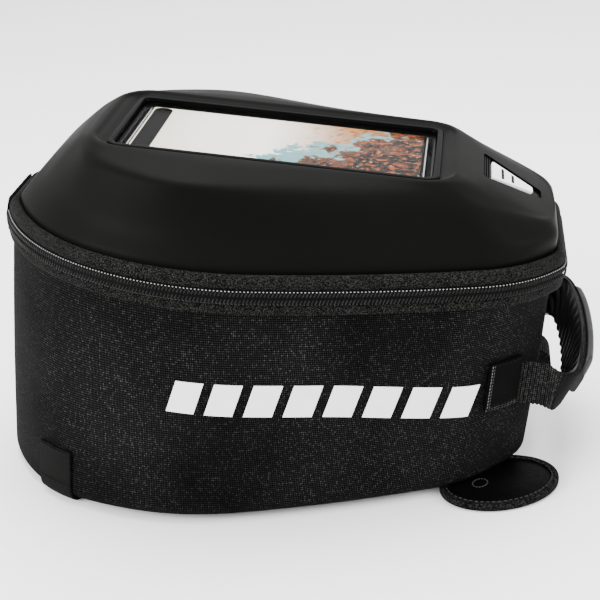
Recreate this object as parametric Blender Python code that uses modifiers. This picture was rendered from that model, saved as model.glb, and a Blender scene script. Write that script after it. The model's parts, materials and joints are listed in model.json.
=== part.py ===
"""Motorcycle tank bag: hard moulded lid with a phone window on a zipped fabric body.

Metres, +Z up, the base on z = 0. +X points to the rider (the handle end), -Y is the near side.
Most pieces are made in the bag's own frame, whose X and Y follow the lid's top, and then hang
from an empty that tips that frame by TOP_SLOPE, because the base is cut on a slope.
"""
import math

import bmesh
import bpy
from mathutils import Matrix, Vector

# ---------------------------------------------------------------- driving dimensions
TOP_SLOPE = math.radians(8.5)        # the lid's top falls this much towards the rider
ZIP_RISE = math.tan(math.radians(2.3))  # the zip line climbs this much in the bag's frame
BODY_DEPTH = 0.1325                  # zip line to floor plane, mid length, in the bag's frame
SHIFT_X = -0.0003                    # centres the whole object on the origin

RIM_FLAT = 0.0183                    # half-width of the straight front of the zip line
RIM_ARCS = ((0.012, 21.0), (0.122, 39.0), (0.140, 39.0), (0.660, 10.0), (0.076, 38.8), (0.021, 32.2))
NOSE_ARC = 1                         # the arc that the zip sliders run on

WALL_INSET = 0.0025                  # body wall inside the zip line
WALL = 0.004                         # laminated foam wall
LINING = 0.0008
LINING_SCALE = 0.92                  # the lid's lining is the moulding's shape, made smaller
GAP = 0.0003                         # between pieces that touch
FLOOR_LIFT = 0.0043                  # floor above the surface the pad rests on
BOTTOM_RADIUS = 0.014
COIL_INNER, COIL_OUTER = 0.0007, 0.0032   # one zip row's edges, away from the zip line
COIL_HALF = 0.0014                   # half its thickness through the wall
BAND_DROP = 0.0095                   # lower edge of the woven band

TOP_HEIGHT = 0.045                   # phone glass above the zip line's middle
LID_WALL = 0.0032
WINDOW_X, WINDOW_Y, WINDOW_R = 0.084, 0.041, 0.005     # hole in the lid, half sizes
LEDGE_X, LEDGE_Y, LEDGE_R = 0.0895, 0.0455, 0.010
RECESS_X, RECESS_Y, RECESS_R = 0.094, 0.0485, 0.018   # soft outer edge of the recess
WINDOW_SHIFT = -0.006                # the window sits this much ahead of the middle
PLATEAU = ((-0.110, 0.020), (-0.106, 0.038), (-0.092, 0.061), (-0.062, 0.0765), (-0.034, 0.079),
           (0.013, 0.0680), (0.049, 0.0600), (0.084, 0.0515), (0.102, 0.0445), (0.119, 0.0385),
           (0.135, 0.030), (0.141, 0.012))
CARD_X, CARD_Y, CARD_THICK = 0.079, 0.0375, 0.008      # phone-sized display card

BAND_LEVEL = -0.054                  # handle's middle below the zip line
WEB_WIDTH, WEB_THICK = 0.025, 0.002
WEB_START_X = 0.152                  # the webbing is free from here on
GRIP_HALF = ((0.1555, 0.0492), (0.1625, 0.0415), (0.1672, 0.0250), (0.1690, 0.0))

WING_TURN = math.radians(40)         # the wings point this far sideways from +X
WING_SIDE = 0.022                    # middle of a wing across its own direction
WING_ROOT, WING_HINGE = 0.096, 0.131
WING_HALF = 0.030                       # half-width of its sewn root
WING_MIDDLE = (0.128, 0.002)            # its free part is an ellipse about here in its own frame,
WING_LONG, WING_SHORT = 0.033, 0.025    # with these half-axes,
WING_LEAN = math.radians(62)            # the long one turned this far from the wing's direction
WING_FOLD = 0.0012                   # each half of a wing stops this far from its hinge line

# rays from the middle that every ring of the loft is cut on, closer at the window's corners
QUADRANT = (0, 6, 12, 17, 20, 23, 26, 29, 33, 39, 46, 54, 63, 72, 81)
RAYS = [math.radians(a) for a in QUADRANT]
RAYS += [math.pi / 2] + [math.pi - a for a in reversed(RAYS)]
RAYS += [math.tau - a for a in reversed(RAYS[1:-1])]

COLOURS = {
    "oxford": ((0.012, 0.012, 0.012), 0.85, 0.0),
    "lining": ((0.05, 0.05, 0.052), 0.9, 0.0),
    "lid_skin": ((0.016, 0.016, 0.015), 0.55, 0.0),
    "tape": ((0.03, 0.03, 0.03), 0.8, 0.0),
    "zip": ((0.045, 0.045, 0.045), 0.45, 0.0),
    "webbing": ((0.014, 0.014, 0.014), 0.75, 0.0),
    "rubber": ((0.02, 0.02, 0.02), 0.5, 0.0),
    "gloss": ((0.01, 0.01, 0.01), 0.15, 0.0),
    "clear": ((0.9, 0.92, 0.93), 0.05, 0.0),
    "print": ((0.85, 0.85, 0.85), 0.4, 0.0),
    "card": ((0.7, 0.68, 0.62), 0.35, 0.0),
    "foam": ((0.03, 0.03, 0.03), 0.95, 0.0),
    "board": ((0.06, 0.06, 0.065), 0.6, 0.0),
    "metal": ((0.08, 0.08, 0.085), 0.35, 1.0),
}


# ---------------------------------------------------------------- outlines
def rim_half():
    """Far half of the zip line, front to rear, and each arc's centre and start heading."""
    heading = 90.0
    points = [Vector((0, 0)), Vector((0, RIM_FLAT))]
    arcs = []
    for radius, turn in RIM_ARCS:
        inward = math.radians(heading - 90)
        centre = points[-1] + radius * Vector((math.cos(inward), math.sin(inward)))
        arcs.append((centre, radius, heading))
        steps = max(4, round(turn))
        for step in range(1, steps + 1):
            angle = math.radians(heading + 90 - turn * step / steps)
            points.append(centre + radius * Vector((math.cos(angle), math.sin(angle))))
        heading -= turn
    points.append(Vector((points[-1].x, 0)))
    middle = Vector((points[-1].x / 2, 0))
    points = [p - middle for p in points]
    arcs = [(centre - middle, radius, start) for centre, radius, start in arcs]
    return points, arcs


def close_half(half):
    """A whole outline, anticlockwise from the rear, out of its far half, front to rear."""
    far = [p.copy() for p in reversed(half)]
    near = [Vector((p.x, -p.y)) for p in half[1:-1]]
    return far + near


def smooth_half(points):
    """A smooth curve through the far half's points, which the mirrored ones continue."""
    pts = [Vector(p) for p in points]
    pts = [Vector((pts[0].x, -pts[0].y))] + pts + [Vector((pts[-1].x, -pts[-1].y))]
    pts = [Vector((pts[2].x, -pts[2].y))] + pts + [Vector((pts[-3].x, -pts[-3].y))]
    curve = []
    for a, b, c, d in zip(pts, pts[1:], pts[2:], pts[3:]):
        for step in range(10):
            t = step / 10
            curve.append(0.5 * ((2 * b) + (c - a) * t + (2 * a - 5 * b + 4 * c - d) * t * t
                                + (3 * b - a - 3 * c + d) * t ** 3))
    curve = [p for p in curve if p.y > 1e-6]
    return [Vector((curve[0].x, 0))] + curve + [Vector((curve[-1].x, 0))]


def rounded_rect(half_x, half_y, radius, steps=5):
    """Anticlockwise rounded rectangle about the origin."""
    points = []
    for sx, sy, start in ((1, 1, 0), (-1, 1, 90), (-1, -1, 180), (1, -1, 270)):
        for step in range(steps + 1):
            angle = math.radians(start + 90 * step / steps)
            points.append(Vector((sx * (half_x - radius) + radius * math.cos(angle),
                                  sy * (half_y - radius) + radius * math.sin(angle))))
    return points


def moved(outline, dx):
    return [p + Vector((dx, 0)) for p in outline]


def inset(outline, depth):
    """The outline moved inwards; depth is a number or a function of x."""
    result = []
    for i, p in enumerate(outline):
        along = (outline[(i + 1) % len(outline)] - outline[i - 1]).normalized()
        inward = Vector((-along.y, along.x))
        result.append(p + inward * (depth(p.x) if callable(depth) else depth))
    return result


def on_rays(outline):
    """Where the outline crosses each of the loft's rays."""
    result = []
    for ray in RAYS:
        c, s = math.cos(ray), math.sin(ray)
        best = None
        for a, b in zip(outline, outline[1:] + outline[:1]):
            side_a, side_b = c * a.y - s * a.x, c * b.y - s * b.x
            if side_a <= 0 < side_b:
                p = a.lerp(b, side_a / (side_a - side_b))
                if c * p.x + s * p.y > 0:
                    best = p
        result.append(best)
    return result


HALF, ARCS = rim_half()
RIM = close_half(HALF)


def zip_height(x):
    return ZIP_RISE * x


def floor_height(x, lift=FLOOR_LIFT):
    """Height of a plane parallel to the base, in the bag's frame."""
    return -BODY_DEPTH + math.tan(TOP_SLOPE) * x + lift / math.cos(TOP_SLOPE)


def rim_ring(depth, rise):
    """A ring at a depth inside the zip line and a rise above it."""
    return [Vector((p.x, p.y, zip_height(p.x) + (rise(p.x) if callable(rise) else rise)))
            for p in on_rays(inset(RIM, depth))]


def flat_ring(outline, height):
    return [Vector((p.x, p.y, height(p.x) if callable(height) else height))
            for p in on_rays(outline)]


def ease(x, low, high):
    t = min(1.0, max(0.0, (x - low) / (high - low)))
    return t * t * (3 - 2 * t)


# ---------------------------------------------------------------- scene and mesh helpers
def clear_scene():
    for obj in list(bpy.data.objects):
        bpy.data.objects.remove(obj, do_unlink=True)


def collection(name):
    coll = bpy.data.collections.new(name)
    bpy.context.scene.collection.children.link(coll)
    return coll


def material(kind):
    mat = bpy.data.materials.get(kind)
    if mat is None:
        colour, roughness, metallic = COLOURS[kind]
        mat = bpy.data.materials.new(kind)
        mat.use_nodes = True
        shader = mat.node_tree.nodes["Principled BSDF"]
        shader.inputs["Base Color"].default_value = (*colour, 1)
        shader.inputs["Roughness"].default_value = roughness
        shader.inputs["Metallic"].default_value = metallic
    return mat


def add(name, kind, bm, parent, coll):
    """A named object from a bmesh, with its faces turned outwards where it is closed."""
    if all(len(e.link_faces) == 2 for e in bm.edges):
        bmesh.ops.recalc_face_normals(bm, faces=bm.faces)
    mesh = bpy.data.meshes.new(name)
    bm.to_mesh(mesh)
    bm.free()
    mesh.materials.append(material(kind))
    mesh.shade_smooth()
    mesh.set_sharp_from_angle(angle=math.radians(35))
    obj = bpy.data.objects.new(name, mesh)
    obj.parent = parent
    coll.objects.link(obj)
    return obj


def surface(rings, floor=False):
    """Open surface through rings that run anticlockwise, lowest first."""
    bm = bmesh.new()
    rows = [[bm.verts.new(p) for p in ring] for ring in rings]
    for low, high in zip(rows, rows[1:]):
        for i in range(len(low)):
            j = (i + 1) % len(low)
            bm.faces.new((low[i], low[j], high[j], high[i]))
    if floor:
        bm.faces.new(list(reversed(rows[0])))
    return bm


def solidify(obj, thickness, offset=-1.0):
    mod = obj.modifiers.new("Wall", "SOLIDIFY")
    mod.thickness = thickness
    mod.offset = offset
    mod.use_even_offset = True
    return obj


def hoop(rings, first=None, last=None):
    """Closed solid whose section has a corner on each ring; open-ended between two rays."""
    bm = bmesh.new()
    count = len(rings[0])
    whole = first is None
    spans = range(count) if whole else range(first, last)
    rows = [[bm.verts.new(ring[i % count]) for i in (range(count) if whole else range(first, last + 1))]
            for ring in rings]
    width = len(rows[0])
    for a, b in zip(rows, rows[1:] + rows[:1]):
        for i in range(len(spans)):
            j = (i + 1) % width
            bm.faces.new((a[i], a[j], b[j], b[i]))
    if not whole:
        bm.faces.new([row[0] for row in rows])
        bm.faces.new([row[-1] for row in reversed(rows)])
    return bm


def plate(outline, low, high, hole=None):
    """Flat plate between two heights, which may be functions of x."""
    def level(p, height):
        return Vector((p.x, p.y, height(p.x) if callable(height) else height))
    bm = bmesh.new()
    if hole is None:
        face = bm.faces.new([bm.verts.new(level(p, low)) for p in outline])
        top = [level(p, high) for p in outline]
        result = bmesh.ops.extrude_face_region(bm, geom=[face])
        raised = [g for g in result["geom"] if isinstance(g, bmesh.types.BMVert)]
        for vert in raised:
            near = min(top, key=lambda q: (q.xy - vert.co.xy).length)
            vert.co.z = near.z
        return bm
    rings = [[level(p, z) for p in line] for line, z in
             ((outline, low), (outline, high), (hole, high), (hole, low))]
    bm.free()
    return hoop(rings)


def strap(path, across, width, thickness, lift=0.0):
    """Band of webbing along a path in the plane square to across; lift moves it off the path."""
    across = Vector(across).normalized()
    bm = bmesh.new()
    sections = []
    for i, p in enumerate(path):
        before = (p - path[i - 1]).normalized() if i else None
        after = (path[i + 1] - p).normalized() if i < len(path) - 1 else None
        before, after = before or after, after or before
        side_b, side_a = across.cross(before), across.cross(after)
        normal = (side_b + side_a).normalized()
        normal /= max(0.3, normal.dot(side_a))
        corners = [(lift, -1), (lift, 1), (lift + thickness, 1), (lift + thickness, -1)]
        sections.append([bm.verts.new(p + normal * n + across * (s * width / 2)) for n, s in corners])
    for a, b in zip(sections, sections[1:]):
        for i in range(4):
            j = (i + 1) % 4
            bm.faces.new((a[i], a[j], b[j], b[i]))
    bm.faces.new(list(reversed(sections[0])))
    bm.faces.new(sections[-1])
    return bm


def curve_through(points, steps=6):
    """Smooth path through points, which it starts and ends on."""
    pts = [Vector(p) for p in points]
    pts = [2 * pts[0] - pts[1]] + pts + [2 * pts[-1] - pts[-2]]
    path = []
    for a, b, c, d in zip(pts, pts[1:], pts[2:], pts[3:]):
        for step in range(steps):
            t = step / steps
            path.append(0.5 * ((2 * b) + (c - a) * t + (2 * a - 5 * b + 4 * c - d) * t * t
                               + (3 * b - a - 3 * c + d) * t ** 3))
    return path + [pts[-2]]


def wall_path(start_x, end_x, off, side):
    """Plan points along the body wall from one x to another, off the wall by off."""
    line = inset(RIM, WALL_INSET - off)
    half = sorted((p for p in line if p.y * side > 0), key=lambda p: p.x)
    inside = [p for p in half if start_x < p.x < end_x]
    keep = inside[::max(1, len(inside) // 8)]
    ends = []
    for x in (start_x, end_x):
        for a, b in zip(half, half[1:]):
            if a.x <= x <= b.x:
                ends.append(a.lerp(b, (x - a.x) / (b.x - a.x)))
    return [ends[0]] + [p for p in keep if p.x - start_x > 0.001 and end_x - p.x > 0.001] + [ends[1]]


def wall_patch(bm, corners, off, thickness, side):
    """Thin piece that follows the wall: corners are (x, drop) at its four corners, in order."""
    (x0, top0), (x1, top1), (x2, low1), (x3, low0) = corners
    steps = math.ceil(abs(x1 - x0) / 0.005)
    line = inset(RIM, WALL_INSET - off)
    back = inset(RIM, WALL_INSET - off - thickness)

    def at(outline, x):
        half = sorted((p for p in outline if p.y * side > 0), key=lambda p: p.x)
        for a, b in zip(half, half[1:]):
            if a.x <= x <= b.x:
                return a.lerp(b, (x - a.x) / (b.x - a.x))
        raise ValueError(x)

    rows = []
    for step in range(steps + 1):
        t = step / steps
        xt, xb = x0 + (x1 - x0) * t, x3 + (x2 - x3) * t
        dt, db = top0 + (top1 - top0) * t, low0 + (low1 - low0) * t
        row = []
        for outline, x, drop in ((line, xt, dt), (back, xt, dt), (back, xb, db), (line, xb, db)):
            p = at(outline, x)
            row.append(bm.verts.new((p.x, p.y, zip_height(p.x) - drop)))
        rows.append(row)
    for a, b in zip(rows, rows[1:]):
        for i in range(4):
            j = (i + 1) % 4
            bm.faces.new((a[i], a[j], b[j], b[i]))
    bm.faces.new(list(reversed(rows[0])))
    bm.faces.new(rows[-1])
    return bm


# ---------------------------------------------------------------- body
def body_rings():
    """Rings of the body's rounded bottom and wall, floor first."""
    rings = []
    for angle in (90, 64, 40, 18, 0):
        a = math.radians(angle)
        edge = inset(RIM, WALL_INSET + BOTTOM_RADIUS * (1 - math.cos(a)))
        lift = FLOOR_LIFT + BOTTOM_RADIUS * (1 - math.sin(a))
        rings.append(flat_ring(edge, lambda x, lift=lift: floor_height(x, lift)))
    rings.append(rim_ring(WALL_INSET, -COIL_OUTER - GAP))
    return rings


def make_body(bag, coll):
    solidify(add("body_shell", "oxford", surface(body_rings(), floor=True), bag, coll), WALL)
    lining = add("body_lining", "lining", surface(body_rings(), floor=True), bag, coll)
    middle = WALL + 2 * GAP + LINING / 2
    solidify(lining, LINING, -2 * middle / LINING)

    board_lift = FLOOR_LIFT + WALL + LINING + 4 * GAP
    board = on_rays(inset(RIM, WALL_INSET + BOTTOM_RADIUS + WALL))
    add("base_board", "board", plate(board, lambda x: floor_height(x, board_lift),
                                     lambda x: floor_height(x, board_lift + 0.002)), bag, coll)


def make_prints(bag, coll):
    """Reflective transfer on both sides, one thin slanted strip along the wall."""
    rear_x, front_x, slant = 0.1105, -0.0445, 0.0045
    top, low = 0.0545, 0.0715
    for name, side in (("side_print_near", -1), ("side_print_far", 1)):
        bm = wall_patch(bmesh.new(), ((front_x + slant, top), (rear_x + slant, top), (rear_x, low),
                                      (front_x, low)), GAP, 0.0004, side)
        add(name, "print", bm, bag, coll)


def make_zip(bag, coll):
    lip = -COIL_OUTER - GAP
    lower = [rim_ring(WALL_INSET - GAP, lip), rim_ring(0.0004, lip), rim_ring(0.0, lip - 0.003),
             rim_ring(0.0002, -BAND_DROP + 0.001), rim_ring(0.0010, -BAND_DROP),
             rim_ring(WALL_INSET - GAP, -BAND_DROP)]
    add("lower_zip_band", "tape", hoop(lower), bag, coll)
    lip = COIL_OUTER + GAP
    upper = [rim_ring(0.0022, lip), rim_ring(0.0004, lip), rim_ring(0.0004, lip + 0.0020),
             rim_ring(0.0020, lip + 0.0046), rim_ring(0.0046, lip + 0.0062),
             rim_ring(0.0055, lip + 0.0055), rim_ring(0.0032, lip + 0.0034)]
    add("upper_zip_band", "tape", hoop(upper), bag, coll)

    # the rows stop at the cloth hinge, which takes up the middle of the front
    front = RAYS.index(math.pi)
    skip = 4
    first, last = front + skip, front - skip + len(RAYS)
    for name, sign in (("lower_zip_row", -1), ("upper_zip_row", 1)):
        rings = [rim_ring(d, sign * s) for d, s in
                 ((-COIL_HALF, 0.00195), (-0.0008, COIL_OUTER), (0.0008, COIL_OUTER),
                  (COIL_HALF, 0.00195), (0.0008, COIL_INNER), (-0.0008, COIL_INNER))]
        add(name, "zip", hoop(rings, first, last), bag, coll)


def make_hinge_tape(bag, coll):
    """Cloth hinge across the front: a leaf on the body's band and a leaf on the lid's."""
    front_x = HALF[0].x
    level = zip_height(front_x)
    for name, sign in (("hinge_tape_lower", -1), ("hinge_tape_upper", 1)):
        tape = plate(rounded_rect(0.0006, 0.0205, 0.0005, 1), level + sign * 0.0004, level + sign * 0.009)
        bmesh.ops.translate(tape, verts=tape.verts, vec=(front_x - GAP - 0.0006, 0, 0))
        add(name, "tape", tape, bag, coll)


# ---------------------------------------------------------------- lid
def crease_depth(x):
    return 0.014 - 0.008 * ease(x, 0.085, 0.150)


def crease_rise(x):
    return 0.023 - 0.004 * ease(x, 0.085, 0.150)


def plateau_height(x):
    return TOP_HEIGHT + 0.0015 - 0.33 * max(0.0, x - 0.089)


def lid_rings():
    """Outer rings of the lid, from its flange under the band up to the window's edge."""
    plateau = close_half(smooth_half(PLATEAU))
    crease = rim_ring(crease_depth, crease_rise)
    edge = flat_ring(plateau, plateau_height)
    shoulder = [a.lerp(b, 0.55) + Vector((0, 0, 0.0018)) for a, b in zip(crease, edge)]
    top = TOP_HEIGHT + 0.0058
    recess = flat_ring(moved(rounded_rect(RECESS_X, RECESS_Y, RECESS_R), WINDOW_SHIFT), top)
    crown = [a.lerp(b, 0.80) + Vector((0, 0, 0.0006)) for a, b in zip(edge, recess)]
    riser = flat_ring(moved(rounded_rect(LEDGE_X + 0.0018, LEDGE_Y + 0.0018, LEDGE_R), WINDOW_SHIFT),
                      TOP_HEIGHT + 0.0040)
    ledge = flat_ring(moved(rounded_rect(LEDGE_X, LEDGE_Y, LEDGE_R), WINDOW_SHIFT), TOP_HEIGHT + 0.0029)
    window = flat_ring(moved(rounded_rect(WINDOW_X, WINDOW_Y, WINDOW_R), WINDOW_SHIFT),
                       TOP_HEIGHT + 0.0027)
    wall = [rim_ring(0.0026, COIL_OUTER + GAP), rim_ring(0.0036, 0.0066), rim_ring(0.0068, 0.0095),
            rim_ring(0.0068, 0.0112), rim_ring(lambda x: 0.0075 - 0.0015 * ease(x, 0.085, 0.150), 0.0150)]
    return wall + [crease, shoulder, edge, crown, recess, riser, ledge, window]


def make_lid(bag, coll, cutters):
    rings = lid_rings()
    shell = solidify(add("lid_shell", "lid_skin", surface(rings), bag, coll), LID_WALL)

    # shallow pocket for the inlay on the rear slope of the lid
    edge_z = plateau_height(0.141)
    slope = math.atan2(TOP_HEIGHT + 0.0058 - edge_z, 0.141 - (RECESS_X + WINDOW_SHIFT))
    place = Matrix.Translation((0.1165, 0, edge_z + math.tan(slope) * (0.141 - 0.1165)))
    place = place @ Matrix.Rotation(slope, 4, "Y")
    badge = [Vector(p) for p in ((-0.0115, -0.0145), (0.0130, -0.0045), (0.0130, 0.0045),
                                 (-0.0115, 0.0145))]
    pocket = [Vector(p) for p in ((-0.0140, -0.0180), (0.0200, -0.0060), (0.0200, 0.0060),
                                  (-0.0140, 0.0180))]
    cutter = add("inlay_cutter", "rubber", plate(pocket, -0.0014, 0.0060), bag, cutters)
    cutter.matrix_local = place
    cutter.hide_render = True
    cutter.display_type = "WIRE"
    cut = shell.modifiers.new("Inlay pocket", "BOOLEAN")
    cut.object = cutter
    badge_obj = add("lid_inlay", "print", plate(badge, -0.0014 + GAP, -0.0001), bag, coll)
    badge_obj.matrix_local = place

    hung = [[p * LINING_SCALE for p in ring] for ring in rings[4:7]]
    solidify(add("lid_lining", "lining", surface(hung), bag, coll), LINING)


def window_rings(half_x, half_y, radius, levels):
    """Rounded rectangles about the window's middle, one for each (grow, height)."""
    return [[Vector((p.x + WINDOW_SHIFT, p.y, TOP_HEIGHT + z)) for p in
             rounded_rect(half_x + grow, half_y + grow, radius + grow, 4)] for grow, z in levels]


def make_window(bag, coll):
    trim = window_rings(WINDOW_X - 0.0018, WINDOW_Y - 0.0018, 0.0036,
                        ((0, 0.0002), (0, 0.0034), (0.0006, 0.0040), (0.0034, 0.0040), (0.0038, 0.0036),
                         (0.0038, 0.0032), (0.0007, 0.0032), (0.0007, 0.0002)))
    add("window_trim", "gloss", hoop(trim), bag, coll)
    film = moved(rounded_rect(WINDOW_X - 0.0021, WINDOW_Y - 0.0021, 0.0033, 4), WINDOW_SHIFT)
    add("window_film", "clear", plate(film, TOP_HEIGHT + 0.0010, TOP_HEIGHT + 0.0014), bag, coll)
    card = moved(rounded_rect(CARD_X, CARD_Y, 0.009, 6), WINDOW_SHIFT)
    add("display_card", "card", plate(card, TOP_HEIGHT - CARD_THICK, TOP_HEIGHT), bag, coll)

    frame = window_rings(0.0812, 0.0402, 0.004,
                         ((0, -0.0118), (0, -0.0012), (0.0045, -0.0012), (0.0045, -0.0024),
                          (0.0016, -0.0024), (0.0016, -0.0118)))
    add("pocket_frame", "board", hoop(frame), bag, coll)
    flap = moved(rounded_rect(0.0826, 0.0416, 0.006, 4), WINDOW_SHIFT)
    add("pocket_flap", "lining", plate(flap, TOP_HEIGHT - 0.0136, TOP_HEIGHT - 0.0121), bag, coll)
    pad = moved(rounded_rect(0.074, 0.033, 0.006, 4), WINDOW_SHIFT)
    add("pocket_pad", "foam", plate(pad, TOP_HEIGHT - 0.0118, TOP_HEIGHT - 0.0083), bag, coll)


# ---------------------------------------------------------------- handle and straps
def handle_line():
    """Far half of the handle's middle line, from its free end to the centre, then the near half."""
    far = [Vector((WEB_START_X, 0.0505, 0))] + [Vector((x, y, 0)) for x, y in GRIP_HALF]
    near = [Vector((p.x, -p.y, 0)) for p in reversed(far[:-1])]
    return far + near


def make_handle(bag, coll):
    level = Vector((0, 0, BAND_LEVEL))
    path = [p + level for p in curve_through(handle_line(), 5)]
    up = Vector((0, 0, 1))
    add("handle_webbing", "webbing", strap(path, up, WEB_WIDTH, WEB_THICK, -WEB_THICK / 2), bag, coll)
    held = path[5:-5]
    inner = strap(held, up, 0.0265, 0.0028, -WEB_THICK / 2 - GAP - 0.0028)
    outer = strap(held, up, 0.0275, 0.0042, WEB_THICK / 2 + GAP)
    add("grip_inner", "rubber", inner, bag, coll)
    add("grip_outer", "rubber", outer, bag, coll)

    for name, side in (("near", -1), ("far", 1)):
        bm = wall_patch(bmesh.new(), ((0.1185, 0.0435), (0.1385, 0.0435), (0.1385, 0.0705), (0.1185, 0.0705)),
                        GAP, 0.0015, side)
        add("handle_patch_" + name, "webbing", bm, bag, coll)
        start = Vector((0.1415, side * 0.0508, BAND_LEVEL))
        end = Vector((0.1440, side * 0.0508, BAND_LEVEL))
        add("handle_root_" + name, "webbing",
            strap([start, end], up, WEB_WIDTH, WEB_THICK, -WEB_THICK / 2), bag, coll)


def make_rear_loop(bag, coll):
    """Half-round webbing loop standing off the rear wall."""
    wall_x = -HALF[0].x - WALL_INSET + GAP
    middle = Vector((wall_x, 0, -0.059))
    path = [middle + Vector((0, 0, 0.0190)), middle + Vector((0, 0, 0.0125))]
    for step in range(9):
        angle = math.radians(90 - 22.5 * step)
        path.append(middle + Vector((0.0012 + 0.0095 * math.cos(angle), 0, 0.0115 * math.sin(angle))))
    path += [middle - Vector((0, 0, 0.0125)), middle - Vector((0, 0, 0.0190))]
    add("rear_loop", "webbing", strap(path, (0, 1, 0), 0.020, 0.0016, -0.0016), bag, coll)


def make_front_tabs(bag, coll):
    """Webbing tabs on the front corners, turned under the floor."""
    for name, side in (("front_tab_near", -1), ("front_tab_far", 1)):
        a, b = wall_path(-0.119, -0.097, GAP, side)[::len(wall_path(-0.119, -0.097, GAP, side)) - 1]
        along = Vector(((b - a).x, (b - a).y, 0)).normalized()
        out = Vector((-abs(along.y), side * abs(along.x), 0))
        middle = (a + b) / 2 + out.xy * 0.0012
        low = floor_height(middle.x, 0.0033)
        top = Vector((middle.x, middle.y, low + 0.0270))
        heel = Vector((middle.x, middle.y, low + 0.0030))
        across = Vector((along.x, along.y, math.tan(TOP_SLOPE) * along.x))
        inward = Vector((-out.x, -out.y, -math.tan(TOP_SLOPE) * out.x)).normalized()
        down = Vector((0, 0, -1))
        path = [top]
        for step in range(5):
            angle = math.radians(22.5 * step)
            path.append(heel + inward * 0.0030 * (1 - math.cos(angle)) + down * 0.0030 * math.sin(angle))
        path.append(path[-1] + inward * 0.0150)
        square = across.normalized()
        outward = square.cross((path[1] - path[0]).normalized()).dot(out) > 0
        add(name, "webbing", strap(path, square, 0.029, 0.0022, 0.0 if outward else -0.0022), bag, coll)


# ---------------------------------------------------------------- base
def make_base(coll):
    """Rubber pad that the bag rests on, in the object's own frame."""
    pad = plate(moved(rounded_rect(0.095, 0.052, 0.018), SHIFT_X - 0.030), 0.0, FLOOR_LIFT - GAP)
    add("base_pad", "rubber", pad, None, coll)


def wing_outline(grow, start, side, steps=14):
    """Free edge of a wing in its own frame, X outwards: the part of its ellipse past the line x = start."""
    long, short = WING_LONG + grow, WING_SHORT + grow
    along, across = long * math.cos(WING_LEAN), short * math.sin(WING_LEAN)
    turn, reach = math.atan2(across, along), math.hypot(along, across)
    span = math.acos((start - WING_MIDDLE[0]) / reach)
    points = []
    for step in range(steps + 1):
        t = -turn - span + 2 * span * step / steps
        x = WING_MIDDLE[0] + along * math.cos(t) - across * math.sin(t)
        y = WING_MIDDLE[1] + long * math.cos(t) * math.sin(WING_LEAN) + short * math.sin(t) * math.cos(WING_LEAN)
        points.append(Vector((x, -side * y)))
    return points if side < 0 else points[::-1]


def make_wings(coll):
    """Magnet wings under the two rear corners: skins, edge binding, magnet and sewn root."""
    for name, side in (("near", -1), ("far", 1)):
        turn = Matrix.Translation((SHIFT_X, 0, 0)) @ Matrix.Rotation(side * WING_TURN, 4, "Z")
        turn = turn @ Matrix.Translation((0, -side * WING_SIDE, 0))
        start = WING_HINGE + WING_FOLD
        pieces = (
            ("wing_root_", "webbing", plate(rounded_root(), 0.0012, 0.0034)),
            ("wing_skin_", "gloss", plate(wing_outline(-0.0032, start, side), 0.0031, 0.0039)),
            ("wing_sole_", "foam", plate(wing_outline(-0.0032, start, side), 0.0006, 0.0014)),
            ("wing_magnet_", "metal", plate(wing_outline(-0.0080, start + 0.0030, side), 0.0017, 0.0028)),
            ("wing_binding_", "tape", wing_binding(start, side)),
        )
        for piece, kind, bm in pieces:
            obj = add(piece + name, kind, bm, None, coll)
            obj.matrix_local = turn


def rounded_root():
    """The sewn part of a wing, between the floor's edge and the hinge line."""
    end, half, corner = WING_HINGE - WING_FOLD, WING_HALF - 0.0010, 0.010
    return [Vector((WING_ROOT, -half + corner)), Vector((WING_ROOT + corner, -half)), Vector((end, -half)),
            Vector((end, half)), Vector((WING_ROOT + corner, half)), Vector((WING_ROOT, half - corner))]


def wing_binding(start, side):
    """Edge tape round a wing's free edge."""
    outer, inner = wing_outline(0, start, side), wing_outline(-0.0029, start, side)
    bm = bmesh.new()
    rows = [[bm.verts.new((p.x, p.y, z)) for p in line]
            for line, z in ((outer, 0.0004), (outer, 0.0041), (inner, 0.0041), (inner, 0.0004))]
    for a, b in zip(rows, rows[1:] + rows[:1]):
        for i in range(len(a) - 1):
            bm.faces.new((a[i], a[i + 1], b[i + 1], b[i]))
    bm.faces.new([row[0] for row in rows])
    bm.faces.new([row[-1] for row in reversed(rows)])
    return bm


# ---------------------------------------------------------------- zip sliders
def slider_place(heading):
    """Frame on the far front arc: X along the zip, Y outwards, Z square to the zip's plane."""
    centre, radius, _ = ARCS[NOSE_ARC]
    angle = math.radians(heading + 90)
    p = centre + radius * Vector((math.cos(angle), math.sin(angle)))
    out = Vector((math.cos(angle), math.sin(angle), ZIP_RISE * math.cos(angle))).normalized()
    up = Vector((-ZIP_RISE, 0, 1)).normalized()
    along = out.cross(up).normalized()
    frame = Matrix((along, out, up)).transposed().to_4x4()
    return Matrix.Translation((p.x, p.y, zip_height(p.x))) @ frame


def slider_section():
    """Section of the slider through the wall: two plates joined through the zip line, and the bail.

    The plates end just above the zip line, so that the lid's row of teeth lifts clear of them.
    """
    inner, outer, low, back, top, web = -0.0028, 0.0030, -0.0042, -0.0030, 0.0012, 0.0004
    face = COIL_HALF + 0.0004
    return [(outer, low), (outer, -0.0012), (0.0051, -0.0012), (0.0051, top), (face, top), (face, web),
            (-face, web), (-face, top), (inner, top), (inner, back), (-face, back), (-face, -web),
            (face, -web), (face, low)]


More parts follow.
